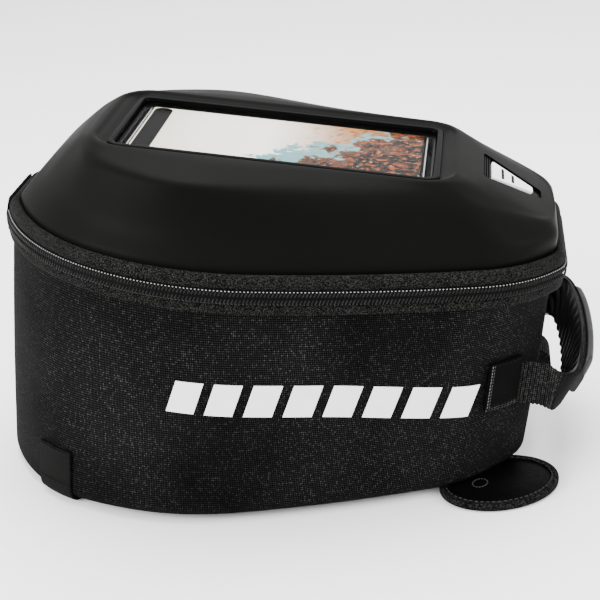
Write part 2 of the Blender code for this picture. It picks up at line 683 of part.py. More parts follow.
def make_sliders(bag, coll):
    for name, heading in (("a", 62.0), ("b", 55.0)):
        bm = bmesh.new()
        section = slider_section()
        rows = [[bm.verts.new((x, y, z)) for y, z in section] for x in (-0.0018, 0.0018)]
        bm.faces.new(rows[0])
        bm.faces.new(list(reversed(rows[1])))
        for i in range(len(section)):
            j = (i + 1) % len(section)
            bm.faces.new((rows[0][i], rows[1][i], rows[1][j], rows[0][j]))
        obj = add("zip_slider_" + name, "metal", bm, bag, coll)
        obj.matrix_local = slider_place(heading)

        fork = [(-0.0034, 0.0012), (-0.0034, -0.0150), (-0.0020, -0.0185), (0.0020, -0.0185),
                (0.0034, -0.0150), (0.0034, 0.0012), (0.0021, 0.0012), (0.0021, -0.0024),
                (-0.0021, -0.0024), (-0.0021, 0.0012)]
        pull = plate([Vector(p) for p in fork], 0.0035, 0.0047)
        bmesh.ops.rotate(pull, verts=pull.verts, cent=(0, 0, 0), matrix=Matrix.Rotation(math.pi / 2, 3, "X"))
        bmesh.ops.scale(pull, verts=pull.verts, vec=(1, -1, 1))
        obj = add("zip_pull_" + name, "metal", pull, bag, coll)
        obj.matrix_local = slider_place(heading)


# ---------------------------------------------------------------- build
def build():
    clear_scene()
    coll = collection("tank_bag")
    cutters = collection("cutters")
    bag = bpy.data.objects.new("bag_frame", None)
    coll.objects.link(bag)
    bag.rotation_euler = (0, TOP_SLOPE, 0)
    bag.location = (SHIFT_X, 0, BODY_DEPTH * math.cos(TOP_SLOPE))

    make_body(bag, coll)
    make_prints(bag, coll)
    make_zip(bag, coll)
    make_hinge_tape(bag, coll)
    make_lid(bag, coll, cutters)
    make_window(bag, coll)
    make_handle(bag, coll)
    make_rear_loop(bag, coll)
    make_front_tabs(bag, coll)
    make_base(coll)
    make_wings(coll)
    make_sliders(bag, coll)


build()
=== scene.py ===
"""Looks of the motorcycle tank bag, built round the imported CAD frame. Metres, +Z up.

The bag's own frame (X towards the rider, Z square to the lid's top, origin in the middle of the zip
line) hangs from BAG, as in the part's source; pieces are lofted in it and moved to the world at once.
"""
import json
import math

import bmesh
import bpy
import numpy as np
from mathutils import Matrix, Vector


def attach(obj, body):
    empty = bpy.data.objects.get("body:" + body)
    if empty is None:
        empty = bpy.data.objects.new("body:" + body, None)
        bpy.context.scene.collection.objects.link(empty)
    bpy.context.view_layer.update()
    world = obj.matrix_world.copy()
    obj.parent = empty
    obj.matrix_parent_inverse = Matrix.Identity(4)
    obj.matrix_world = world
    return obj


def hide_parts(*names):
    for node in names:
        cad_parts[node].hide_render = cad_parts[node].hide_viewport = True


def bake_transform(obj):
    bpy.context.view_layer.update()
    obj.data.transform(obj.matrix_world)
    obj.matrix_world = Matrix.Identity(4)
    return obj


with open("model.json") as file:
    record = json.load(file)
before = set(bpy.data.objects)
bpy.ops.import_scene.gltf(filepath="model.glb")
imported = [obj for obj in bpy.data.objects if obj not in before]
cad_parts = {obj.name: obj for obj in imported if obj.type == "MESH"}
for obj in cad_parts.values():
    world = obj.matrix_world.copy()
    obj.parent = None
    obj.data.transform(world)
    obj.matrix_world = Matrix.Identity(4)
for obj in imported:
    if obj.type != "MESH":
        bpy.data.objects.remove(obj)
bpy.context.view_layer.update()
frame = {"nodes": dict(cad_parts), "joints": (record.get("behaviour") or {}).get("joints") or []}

# ---------------------------------------------------------------- driving dimensions, as in the CAD
TOP_SLOPE = math.radians(8.5)        # lean of the bag's frame, and of the lid's top
ZIP_RISE = math.tan(math.radians(2.3))
BODY_DEPTH = 0.1325                  # from the zip line down to the floor, at the frame's origin
SHIFT_X = -0.0003
RIM_FLAT = 0.0183                    # half of the rim's straight front
# the rim's far half from front to rear: each arc's radius and the degrees that it turns
RIM_ARCS = ((0.012, 21.0), (0.122, 39.0), (0.140, 39.0), (0.660, 10.0), (0.076, 38.8), (0.021, 32.2))
NOSE_ARC = 1                         # the arc that carries the zip sliders
WALL_INSET = 0.0025                  # the wall stands this far inside the rim
WALL = 0.004
FLOOR_LIFT = 0.0043                  # the stiff floor's height over the ground
BOTTOM_RADIUS = 0.0095
FRONT_SAG = 0.0010
REAR_TUCK = 0.0038                   # the rear wall is drawn in this much below the zip's tape
SETTLE = 0.0022                      # the outer cloth sits this much lower than the stiff floor
LINING, LINING_GAP = 0.0005, 0.0006
HINGE_WIDTH, HINGE_WALL = 0.041, 0.0009
TOP_HEIGHT = 0.045
WINDOW_X, WINDOW_Y, WINDOW_R = 0.084, 0.041, 0.005
LEDGE_X, LEDGE_Y, LEDGE_R = 0.0895, 0.0455, 0.010
RECESS_X, RECESS_Y, RECESS_R = 0.094, 0.0485, 0.018
WINDOW_SHIFT = -0.006
# the lid's top in plan, its far half from front to rear
PLATEAU = ((-0.110, 0.020), (-0.106, 0.038), (-0.092, 0.061), (-0.062, 0.0765), (-0.034, 0.079),
           (0.013, 0.0680), (0.049, 0.0600), (0.084, 0.0515), (0.102, 0.0445), (0.119, 0.0385),
           (0.135, 0.030), (0.141, 0.012))
FACET_START, FACET_SLOPE = 0.089, 0.33  # the lid slopes down from here towards the rider
BAND_LEVEL = -0.054                  # height of the handle's webbing
# the grip's line in plan, its far half from the wall to the middle
GRIP_HALF = ((0.1555, 0.0490), (0.1615, 0.0415), (0.1650, 0.0250), (0.1664, 0.0))
WING_TURN = math.radians(40)
WING_SIDE = 0.022
WING_HINGE = 0.131
WING_MIDDLE = (0.1268, 0.0036)       # each wing is an ellipse about here in its own frame
WING_LONG, WING_SHORT = 0.033, 0.025
WING_LEAN = math.radians(62)

RING_COUNT = 520                     # points round every ring of the loft
CORNER_STEPS = 9                     # rings round the body's bottom edge
TOOTH_PITCH = 0.00185
TOOTH_LEAN = math.radians(24)
CORD = 0.0022                        # pitch of the webbing's cords
RIBBON_EDGE = 0.0006                 # how far a band's edges are eased
SIDES = (("near", -1), ("far", 1))

BAG = Matrix.Translation((SHIFT_X, 0, BODY_DEPTH * math.cos(TOP_SLOPE))) @ Matrix.Rotation(TOP_SLOPE, 4, "Y")


def to_world(points, place=BAG):
    """Points in a frame, as world points."""
    place = np.array(place)
    return np.asarray(points, float) @ place[:3, :3].T + place[:3, 3]


def ease(x, low, high):
    t = np.clip((np.asarray(x, float) - low) / (high - low), 0, 1)
    return t * t * (3 - 2 * t)


def unit(vectors):
    """Rows of vectors, each made one long."""
    return vectors / np.linalg.norm(vectors, axis=1, keepdims=True)


# ---------------------------------------------------------------- outlines and rings
def close_half(half):
    """A whole outline, anticlockwise from the rear, out of its far half, front to rear."""
    half = np.asarray(half, float)
    return np.vstack([half[::-1], (half * (1, -1))[1:-1]])


def rim_outline():
    """Zip line in plan, and the nose arc's centre."""
    heading, points = 90.0, [np.zeros(2), np.array((0, RIM_FLAT))]
    centres = []
    for radius, turn in RIM_ARCS:
        side = math.radians(heading - 90)
        centre = points[-1] + radius * np.array((math.cos(side), math.sin(side)))
        centres.append(centre)
        for step in range(1, 41):
            angle = math.radians(heading + 90 - turn * step / 40)
            points.append(centre + radius * np.array((math.cos(angle), math.sin(angle))))
        heading -= turn
    points.append(np.array((points[-1][0], 0.0)))
    middle = np.array((points[-1][0] / 2, 0))
    return close_half(np.array(points) - middle), centres[NOSE_ARC] - middle


def resample(line, count, closed=True):
    """Points spaced evenly along a line, and the line's length."""
    line = np.asarray(line, float)
    if closed:
        line = np.vstack([line, line[:1]])
    run = np.concatenate([[0], np.cumsum(np.linalg.norm(np.diff(line, axis=0), axis=1))])
    at = np.linspace(0, run[-1], count, endpoint=not closed)
    return np.stack([np.interp(at, run, axis) for axis in line.T], axis=1), run[-1]


def soften(ring, passes):
    """A closed ring averaged with its neighbours."""
    for _ in range(passes):
        ring = (np.roll(ring, 1, 0) + 2 * ring + np.roll(ring, -1, 0)) / 4
    return ring


def normals_of(line):
    """Unit normals that point out of a closed anticlockwise line."""
    along = unit(np.roll(line, -1, 0) - np.roll(line, 1, 0))
    return np.stack([along[:, 1], -along[:, 0]], axis=1)


OUTLINE, NOSE_CENTRE = rim_outline()
RIM, RIM_LENGTH = resample(OUTLINE, RING_COUNT)
OUT = unit(soften(normals_of(RIM), 3))
ANGLES = np.unwrap(np.arctan2(RIM[:, 1], RIM[:, 0]))
RUN = np.arange(RING_COUNT + 1) * RIM_LENGTH / RING_COUNT


def rim_ring(depth, rise, passes=0):
    """A ring at a depth inside the zip line and a rise above it; both may be arrays."""
    depth = np.broadcast_to(depth, RING_COUNT)[:, None]
    plan = RIM - OUT * depth
    if passes:
        plan = soften(plan, passes)
    return np.column_stack([plan, ZIP_RISE * RIM[:, 0] + rise])


def polar_ring(outline, height):
    """A flat outline cut on the rim's rays; height is a number or a function of x."""
    outline, _ = resample(outline, 1200)
    angle = np.arctan2(outline[:, 1], outline[:, 0]) % math.tau
    order = np.argsort(angle)
    radius = np.interp(ANGLES % math.tau, angle[order], np.linalg.norm(outline, axis=1)[order],
                       period=math.tau)
    plan = radius[:, None] * np.column_stack([np.cos(ANGLES), np.sin(ANGLES)])
    rise = height(plan[:, 0]) if callable(height) else height
    return at_height(plan, rise)


def at_height(outline, z):
    """A flat outline lifted to a height, which may be an array."""
    return np.column_stack([outline, np.full(len(outline), z)])


def rounded(points, radius, steps=3):
    """A closed outline with its corners rounded."""
    points = [np.array(p, float) for p in points]
    result = []
    for i, p in enumerate(points):
        back, on = points[i - 1] - p, points[(i + 1) % len(points)] - p
        len_back, len_on = np.linalg.norm(back), np.linalg.norm(on)
        reach = min(radius, 0.45 * len_back, 0.45 * len_on)
        a, b = p + back / len_back * reach, p + on / len_on * reach
        for t in np.linspace(0, 1, steps + 1):
            result.append((1 - t) ** 2 * a + 2 * t * (1 - t) * p + t * t * b)
    return result


def rounded_rect(half_x, half_y, radius):
    steps = 12
    points = []
    for sx, sy, start in ((1, 1, 0), (-1, 1, 90), (-1, -1, 180), (1, -1, 270)):
        for step in range(steps + 1):
            angle = math.radians(start + 90 * step / steps)
            points.append((sx * (half_x - radius) + radius * math.cos(angle),
                           sy * (half_y - radius) + radius * math.sin(angle)))
    return np.array(points)


def window_rect(half_x, half_y, radius):
    return rounded_rect(half_x, half_y, radius) + (WINDOW_SHIFT, 0)


def curve_through(points, steps=12):
    """Smooth line through points, which it starts and ends on."""
    pts = [np.asarray(p, float) for p in points]
    pts = [2 * pts[0] - pts[1]] + pts + [2 * pts[-1] - pts[-2]]
    line = []
    for a, b, c, d in zip(pts, pts[1:], pts[2:], pts[3:]):
        for step in range(steps):
            t = step / steps
            line.append(0.5 * (2 * b + (c - a) * t + (2 * a - 5 * b + 4 * c - d) * t * t
                               + (3 * b - a - 3 * c + d) * t ** 3))
    return np.array(line + [pts[-2]])


def plateau_outline():
    half = np.array(PLATEAU)
    mirrored = half * (1, -1)
    whole = curve_through(np.vstack([mirrored[1::-1], half, mirrored[:-3:-1]]), 10)
    whole = whole[whole[:, 1] > 0]
    return close_half(np.vstack([[whole[0, 0], 0], whole, [whole[-1, 0], 0]]))


def filleted(rings, radii, steps=4):
    """Rings with the profile's corners rounded: radii holds one fillet length for each ring."""
    result = [rings[0]]
    for before, ring, after, radius in zip(rings, rings[1:], rings[2:], radii[1:]):
        back, on = before - ring, after - ring
        len_back = np.linalg.norm(back, axis=1, keepdims=True)
        len_on = np.linalg.norm(on, axis=1, keepdims=True)
        reach = np.minimum(radius, 0.46 * np.minimum(len_back, len_on))
        start, end = ring + back / len_back * reach, ring + on / len_on * reach
        for t in np.linspace(0, 1, steps + 1):
            result.append((1 - t) ** 2 * start + 2 * t * (1 - t) * ring + t * t * end)
    return result + [rings[-1]]


def between(low, high, steps):
    return [low + (high - low) * t for t in np.linspace(0, 1, steps + 2)[1:-1]]


# ---------------------------------------------------------------- meshes
def fit(obj, body, slot, *nodes):
    """Says which body a piece rides and the CAD nodes that it stands for, which it hides; slot, its material
    slot, is not used.

    Cloth that bends is given two bodies and the two places that it would bend between, in body; such a piece
    is only fixed in the world, neither attached nor bent.
    """
    if isinstance(body, str):
        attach(obj, body)
    else:
        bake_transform(obj)
    if nodes:
        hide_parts(*nodes)
    return obj


def grid_mesh(name, grid, material, wrap=True, close=False, run=None, ends=False, place=BAG, sharp=50):
    """A mesh over rows and columns of points, with a UV map in metres.

    wrap joins the last column to the first, close the last row to the first; ends caps the columns.
    """
    grid = np.asarray(grid, float)
    rows, cols = grid.shape[:2]
    col_next = [(c + 1) % cols for c in range(cols if wrap else cols - 1)]
    row_next = [(r + 1) % rows for r in range(rows if close else rows - 1)]
    faces = [(r * cols + c, r * cols + nc, nr * cols + nc, nr * cols + c)
             for r, nr in enumerate(row_next) for c, nc in enumerate(col_next)]
    if run is None:
        step = np.linalg.norm(np.diff(grid.mean(0), axis=0), axis=1)
        run = np.concatenate([[0], np.cumsum(step), [np.sum(step) + (step[-1] if len(step) else 0)]])
    rise_steps = np.linalg.norm(np.diff(np.concatenate([grid, grid[:1]]), axis=0), axis=2).mean(1)
    rise = np.concatenate([[0], np.cumsum(rise_steps)])
    uvs = [(run[c + k], rise[r + j]) for r in range(len(row_next)) for c in range(len(col_next))
           for k, j in ((0, 0), (1, 0), (1, 1), (0, 1))]
    if ends:
        faces.append([r * cols for r in range(rows)])
        faces.append([r * cols + cols - 1 for r in reversed(range(rows))])
        uvs += [(0, 0)] * (2 * rows)
    verts = to_world(grid.reshape(-1, 3), place)
    return finish_mesh(name, verts, faces, material, uvs, sharp)


def finish_mesh(name, verts, faces, material, uvs=None, sharp=50):
    mesh = bpy.data.meshes.new(name)
    mesh.from_pydata([tuple(v) for v in verts], [], [tuple(f) for f in faces])
    if uvs is not None:
        layer = mesh.uv_layers.new(name="UVMap")
        layer.data.foreach_set("uv", np.asarray(uvs, np.float32).ravel())
    mesh.materials.append(material)
    mesh.shade_smooth()
    mesh.set_sharp_from_angle(angle=math.radians(sharp))
    bm = bmesh.new()
    bm.from_mesh(mesh)
    bmesh.ops.recalc_face_normals(bm, faces=bm.faces)
    bm.to_mesh(mesh)
    bm.free()
    obj = bpy.data.objects.new(name, mesh)
    bpy.context.scene.collection.objects.link(obj)
    return obj


def apply_modifiers(obj):
    graph = bpy.context.evaluated_depsgraph_get()
    mesh = bpy.data.meshes.new_from_object(obj.evaluated_get(graph))
    obj.modifiers.clear()
    obj.data = mesh
    return obj


def thicken(obj, thickness, offset=-1.0):
    mod = obj.modifiers.new("Wall", "SOLIDIFY")
    mod.thickness = thickness
    mod.offset = offset
    mod.use_even_offset = True
    return apply_modifiers(obj)


def bevel(obj, width, segments=2, angle=40):
    """Rounds the edges that turn by more than an angle."""
    mod = obj.modifiers.new("Edges", "BEVEL")
    mod.width = width
    mod.segments = segments
    mod.limit_method = "ANGLE"
    mod.angle_limit = math.radians(angle)
    return apply_modifiers(obj)


def cap_disc(grid_ring, steps, height):
    """Rings that close a ring towards its middle, over a flat floor."""
    middle = grid_ring.mean(0)
    rings = []
    for t in np.linspace(0.96, 0, steps):
        ring = grid_ring + (middle - grid_ring) * t
        ring[:, 2] = height(ring[:, 0])
        rings.append(ring)
    return rings


def bead(length, width, height):
    """A small rounded bar along X, as points and faces, for stitches and teeth."""
    around, along = 6, 5
    points, faces = [(-length / 2, 0, 0)], []
    for i in range(1, along):
        t = math.pi * i / along
        x = -length / 2 * math.copysign(abs(math.cos(t)) ** 0.6, math.cos(t))
        girth = math.sin(t) ** 0.5
        for k in range(around):
            a = math.tau * k / around
            points.append((x, width / 2 * girth * math.cos(a), height / 2 * girth * math.sin(a)))
    points.append((length / 2, 0, 0))
    last = len(points) - 1
    for k in range(around):
        n = (k + 1) % around
        faces.append((0, 1 + n, 1 + k))
        faces.append((last, last - around + k, last - around + n))
        for i in range(along - 2):
            a, b = 1 + i * around, 1 + (i + 1) * around
            faces.append((a + k, a + n, b + n, b + k))
    return np.array(points), faces


def scatter(name, shape, places, axes, material, place=BAG):
    """Copies of a small shape as one mesh; axes holds an X, Y, Z frame for each place."""
    points, faces = shape
    places, axes = np.asarray(places, float), np.asarray(axes, float)
    verts = np.einsum("pk,nkj->npj", points, axes) + places[:, None, :]
    count = len(points)
    all_faces = [tuple(i + n * count for i in f) for n in range(len(places)) for f in faces]
    return finish_mesh(name, to_world(verts.reshape(-1, 3), place), all_faces, material, None, 180)


def frames_along(tangents, ups):
    """X along the tangent, Z along up, made square, for each point."""
    x = unit(tangents)
    y = unit(np.cross(ups, x))
    return np.stack([x, y, np.cross(x, y)], axis=1)


def stitch_row(name, line, ups, material, pitch=0.0026, length=0.0019, width=0.0006, closed=False,
               place=BAG):
    """A row of sewn stitches along a line; ups are the surface's normals along it."""
    line, ups = np.asarray(line, float), np.asarray(ups, float)
    count = max(2, round(resample(line, 2, closed)[1] / pitch))
    spots, _ = resample(line, count, closed)
    ups_at, _ = resample_with(line, ups, count, closed)
    ahead = np.roll(spots, -1, 0) - np.roll(spots, 1, 0)
    if not closed:
        ahead[0], ahead[-1] = spots[1] - spots[0], spots[-1] - spots[-2]
    axes = frames_along(ahead, ups_at)
    return scatter(name, bead(length, width, width * 0.9), spots, axes, material, place)


def resample_with(line, values, count, closed):
    """Values carried by a line's points, at evenly spaced places on it."""
    if closed:
        line, values = np.vstack([line, line[:1]]), np.vstack([values, values[:1]])
    run = np.concatenate([[0], np.cumsum(np.linalg.norm(np.diff(line, axis=0), axis=1))])
    at = np.linspace(0, run[-1], count, endpoint=not closed)
    return np.stack([np.interp(at, run, axis) for axis in values.T], axis=1), run[-1]


def ribbon(name, line, across, out, width, low, high, material, taper=None, rib=None, cells=7):
    """A band along a line: across and out are unit vectors at each point, low and high its faces along out.

    taper scales the width along the line; rib(run, v) adds height to the outer face.
    """
    line = np.asarray(line, float)
    across = np.broadcast_to(across, line.shape)
    out = np.broadcast_to(out, line.shape)
    run = np.concatenate([[0], np.cumsum(np.linalg.norm(np.diff(line, axis=0), axis=1))])
    taper = np.ones(len(line)) if taper is None else np.asarray(taper)
    vs = np.linspace(-1, 1, cells)
    section = [(v, high, 1) for v in vs] + [(1 + 1e-9, (low + high) / 2, 0)]
    section += [(v, low, -1) for v in vs[::-1]] + [(-1 - 1e-9, (low + high) / 2, 0)]
    rows = []
    for v, level, face in section:
        inset = RIBBON_EDGE / (width / 2) if face and abs(v) > 0.999 else 0
        reach = v * (1 - inset) * width / 2 * taper
        lift = np.full(len(line), level)
        if face > 0 and rib is not None:
            lift = lift + rib(run, v)
        rows.append(line + across * reach[:, None] + out * lift[:, None])
    return grid_mesh(name, np.array(rows), material, wrap=False, close=True, ends=True,
                     run=np.append(run, run[-1]), sharp=60)


# ---------------------------------------------------------------- materials
def rgba(colour):
    """A colour with full alpha; a number stands for a grey."""
    return (*colour, 1) if hasattr(colour, "__len__") else (colour, colour, colour, 1)


class Surface:
    """A Principled material, with short calls to build its node tree."""

    def __init__(self, name, colour=0.5, roughness=0.5, **sockets):
        self.mat = bpy.data.materials.new(name)
        self.mat.use_nodes = True
        self.tree = self.mat.node_tree
        self.shader = self.tree.nodes["Principled BSDF"]
        self.shader.inputs["Base Color"].default_value = rgba(colour)
        self.shader.inputs["Roughness"].default_value = roughness
        for socket, value in sockets.items():
            self.shader.inputs[socket.replace("_", " ")].default_value = value
        self.heights = []

    def node(self, kind, inputs=None, **props):
        node = self.tree.nodes.new("ShaderNode" + kind)
        for key, value in props.items():
            setattr(node, key, value)
        for key, value in (inputs or {}).items():
            if isinstance(value, bpy.types.NodeSocket):
                self.tree.links.new(value, node.inputs[key])
            else:
                node.inputs[key].default_value = value
        return node

    def math(self, operation, a, b=0.0):
        return self.node("Math", {0: a, 1: b}, operation=operation).outputs[0]

    def place(self, kind="Object"):
        return self.node("TexCoord").outputs[kind]

    def noise(self, scale, detail=2.0, where=None, rough=0.5):
        return self.node("TexNoise", {"Vector": where or self.place(), "Scale": scale, "Detail": detail,
                                      "Roughness": rough}).outputs["Fac"]

    def ramp(self, value, *stops):
        node = self.node("ValToRGB", {"Fac": value})
        elements = node.color_ramp.elements
        while len(elements) < len(stops):
            elements.new(0.5)
        for element, (at, colour) in zip(elements, stops):
            element.position = at
            element.color = rgba(colour)
        return node.outputs["Color"]

    def mix(self, factor, a, b):
        node = self.node("Mix", data_type="RGBA")
        for index, value in ((0, factor), (6, a), (7, b)):
            if isinstance(value, bpy.types.NodeSocket):
                self.tree.links.new(value, node.inputs[index])
            else:
                node.inputs[index].default_value = value if index == 0 else rgba(value)
        return node.outputs[2]

    def colour(self, socket):
        self.tree.links.new(socket, self.shader.inputs["Base Color"])

    def rough(self, value, low, high):
        out = self.node("MapRange", {"Value": value, "To Min": low, "To Max": high}).outputs["Result"]
        self.tree.links.new(out, self.shader.inputs["Roughness"])

    def bump(self, height, distance, strength=1.0):
        self.heights.append((height, distance, strength))

    def done(self):
        normal = None
        for height, distance, strength in self.heights:
            inputs = {"Height": height, "Distance": distance, "Strength": strength}
            if normal is not None:
                inputs["Normal"] = normal
            normal = self.node("Bump", inputs).outputs["Normal"]
        if normal is not None:
            self.tree.links.new(normal, self.shader.inputs["Normal"])
        return self.mat


def weave(surface, pitch, turn=0.0, shape=0.55):
    """Plain weave over the UV map: its height, and a random value for each crossing of threads."""
    across, up = pitch if hasattr(pitch, "__len__") else (pitch, pitch)
    uv = surface.node("Mapping", {"Vector": surface.place("UV"), "Rotation": (0, 0, turn),
                                  "Scale": (1 / across, 1 / up, 1)}).outputs["Vector"]
    axes = surface.node("SeparateXYZ", {"Vector": uv})
    waves = [surface.math("SINE", surface.math("MULTIPLY", axes.outputs[k], math.pi)) for k in (0, 1)]
    knot = surface.math("MULTIPLY", *waves)
    height = surface.math("POWER", surface.math("ABSOLUTE", knot), shape)
    cell = surface.node("VectorMath", {0: uv}, operation="FLOOR").outputs["Vector"]
    chance = surface.node("TexWhiteNoise", {"Vector": cell}, noise_dimensions="2D").outputs["Value"]
    return height, chance


def woven(name, dark, light, pitch, flecks, glint_colour, depth=0.0003, turn=0.0, sheen=0.25):
    """Woven cloth: threads, a slow change of tone, painted shade down between the threads, and painted glints
    on a few pale crossings.
    """
    s = Surface(name, Sheen_Weight=sheen, Sheen_Roughness=0.45, Specular_IOR_Level=0.02)
    height, chance = weave(s, pitch, turn)
    shade = s.noise(38.0, 3.0)
    base = s.mix(shade, dark, light)
    # painted shade: the colour is darkened down between the threads
    base = s.mix(s.math("MULTIPLY", height, 0.6), s.mix(0.55, base, 0.0), base)
    # painted glints: a few crossings made pale on their thread crests
    crest_glint = s.math("MULTIPLY", s.math("POWER", chance, 1 / flecks - 1), height)
    s.colour(s.mix(crest_glint, base, glint_colour))
    s.rough(chance, 0.6, 0.85)
    s.bump(height, depth)
    s.bump(s.noise(9.0, 2.0), 0.004, 0.12)
    return s.done()


def oxford_cloth():
    """Coarse oxford in rows, with a painted glint on the thread at each crossing: most of them dim, some
    bright, and brighter in patches.
    """
    s = Surface("oxford_cloth", Sheen_Weight=0.001, Sheen_Roughness=0.45, Specular_IOR_Level=0.010)
    height, chance = weave(s, (0.00095, 0.00125), shape=0.8)
    # painted glints on the thread crossings: most dim, a few bright, brighter in noise patches
    bright = s.math("ADD", s.math("MULTIPLY", s.math("POWER", chance, 6.0), 0.74), 0.24)
    glint_patches = s.ramp(s.noise(16.0, 3.0), (0.30, 0.28), (0.70, 1.0))
    painted_glint = s.math("MULTIPLY", s.math("POWER", height, 2.0), s.math("MULTIPLY", bright, glint_patches))
    base = s.mix(s.noise(38.0, 3.0), 0.0006, 0.0012)
    s.colour(s.mix(painted_glint, base, 0.078))
    s.rough(chance, 0.6, 0.85)
    s.bump(height, 0.0005)
    s.bump(s.noise(9.0, 2.0), 0.004, 0.12)
    return s.done()


def zip_tape():
    return woven("zip_tape", 0.0008, (0.0020, 0.0020, 0.0019), 0.00042, 0.26,
                 (0.060, 0.060, 0.057), turn=math.radians(35), sheen=0.004)


def lining_cloth():
    return woven("lining_cloth", (0.020, 0.020, 0.021), (0.032, 0.032, 0.034), 0.00045, 0.06,
                 (0.06, 0.06, 0.065), depth=0.00015)


def binding_tape():
    return woven("binding_tape", 0.0008, 0.0020, 0.00070, 0.28,
                 (0.045, 0.045, 0.044), sheen=0.004)


def webbing_cloth():
    """Ribbed webbing: dark cords across the band, with a painted glint where each thread crosses one."""
    s = Surface("webbing_cloth", Sheen_Weight=0.003, Sheen_Roughness=0.5, Specular_IOR_Level=0.02)
    height, chance = weave(s, (CORD / 2, 0.0011), shape=0.8)
    # painted glints where the threads cross the cords: most dim, some bright
    bright = s.math("ADD", s.math("MULTIPLY", s.math("POWER", chance, 2.0), 0.70), 0.25)
    painted_glint = s.math("MULTIPLY", s.math("POWER", height, 1.6), bright)
    base = s.mix(s.noise(60.0, 3.0), 0.0005, 0.0012)
    s.colour(s.mix(painted_glint, base, (0.085, 0.085, 0.083)))
    s.rough(chance, 0.6, 0.8)
    s.bump(height, 0.0006)
    return s.done()


def lapped_cloth():
    """Smooth lining-back cloth of the patches and tabs: a fine, faint weave, with painted glints on a few
    thread crests.
    """
    s = Surface("lapped_cloth", Sheen_Weight=0.003, Sheen_Roughness=0.5, Specular_IOR_Level=0.02)
    height, chance = weave(s, 0.00065)
    base = s.mix(s.noise(50.0, 4.0), 0.0006, (0.0022, 0.0022, 0.0021))
    # painted glints: a few thread crests are made pale
    s.colour(s.mix(s.math("MULTIPLY", height, s.math("MULTIPLY", chance, 0.35)), base, (0.030, 0.030, 0.029)))
    s.rough(chance, 0.6, 0.8)
    s.bump(height, 0.0002)
    s.bump(s.noise(140.0, 3.0), 0.0006, 0.3)
    return s.done()


def lid_skin():
    """Soft-touch moulded skin: fine grain, faint rubbed patches."""
    s = Surface("lid_skin", Specular_IOR_Level=0.028, Sheen_Weight=0.003, Sheen_Roughness=0.4)
    cloud = s.noise(14.0, 4.0)
    s.colour(s.mix(cloud, (0.0016, 0.0016, 0.0014), (0.0024, 0.0024, 0.0022)))
    grain = s.noise(2600.0, 2.0)
    s.rough(s.noise(40.0, 5.0, rough=0.6), 0.42, 0.54)
    s.bump(grain, 0.00012, 0.5)
    s.bump(s.noise(30.0, 2.0), 0.001, 0.08)
    return s.done()


def black_gloss(name="gloss_black", rough=(0.12, 0.28), grain=0.0):
    s = Surface(name, 0.004, Specular_IOR_Level=0.012, Coat_Weight=0.005, Coat_Roughness=0.08)
    s.rough(s.noise(120.0, 4.0), *rough)
    s.colour(s.mix(s.noise(25.0), 0.0008, 0.0020))
    if grain:
        s.bump(s.noise(900.0, 3.0), grain, 0.6)
    return s.done()


def nylon_teeth():
    s = Surface("nylon_teeth", Specular_IOR_Level=0.035)
    s.colour(s.mix(s.noise(420.0), 0.001, (0.022, 0.022, 0.0215)))
    s.rough(s.noise(200.0), 0.3, 0.5)
    return s.done()


def thread(name, dark, light):
    s = Surface(name, Sheen_Weight=0.004, Specular_IOR_Level=0.04)
    s.colour(s.mix(s.noise(500.0), dark, light))
    s.rough(s.noise(700.0), 0.5, 0.75)
    s.bump(s.noise(5000.0), 0.0001, 0.6)
    return s.done()


def reflective():
    """Pale transfer with a fine glass-bead grain."""
    s = Surface("reflective_print", Specular_IOR_Level=0.6)
    beads = s.node("TexVoronoi", {"Vector": s.place(), "Scale": 2400.0}).outputs["Distance"]
    s.colour(s.mix(s.noise(90.0, 4.0), 0.74, 0.90))
    s.rough(s.noise(60.0), 0.35, 0.5)
    s.bump(beads, 0.00015, 0.4)
    return s.done()


def grip_rubber():
    s = Surface("grip_rubber", Specular_IOR_Level=0.16)
    s.colour(s.mix(s.noise(50.0, 3.0), 0.0020, 0.0060))
    s.rough(s.noise(160.0, 3.0), 0.28, 0.42)
    s.bump(s.noise(1800.0), 0.0001, 0.5)
    return s.done()


def grip_cover():
    """Smooth outer cover of the grip, made lighter in patches by painted highlight."""
    s = Surface("grip_cover", Specular_IOR_Level=0.2)
    # painted highlight: noise patches lift the cover from near black to grey
    s.colour(s.mix(s.ramp(s.noise(70.0, 4.0), (0.35, 0.0), (0.75, 1.0)), 0.006,
                   0.020))
    s.rough(s.noise(90.0, 4.0), 0.30, 0.46)
    s.bump(s.noise(1500.0), 0.00008, 0.5)
    return s.done()


def moulded(name, dark, light, rough=(0.4, 0.6), grain=0.00012, metallic=0.0):
    s = Surface(name, Metallic=metallic, Specular_IOR_Level=0.10)
    s.colour(s.mix(s.noise(45.0, 4.0), dark, light))
    s.rough(s.noise(130.0, 3.0), *rough)
    s.bump(s.noise(1500.0, 2.0), grain, 0.6)
    return s.done()


def coated_fabric():
    """Glossy coated cloth of the wings, slightly crinkled."""
    s = Surface("coated_fabric", Specular_IOR_Level=0.025, Coat_Weight=0.008, Coat_Roughness=0.2)
    s.colour(s.mix(s.noise(30.0, 4.0), 0.0010, 0.0022))
    s.rough(s.noise(70.0, 4.0), 0.22, 0.42)
    s.bump(s.noise(120.0, 3.0), 0.0009, 0.35)
    s.bump(weave(s, 0.0005)[0], 0.0001, 0.5)
    return s.done()


def clear_film():
    s = Surface("clear_film", 0.02, 0.08, Alpha=0.04, Specular_IOR_Level=0.05)
    s.bump(s.noise(14.0), 0.002, 0.05)
    return s.done()


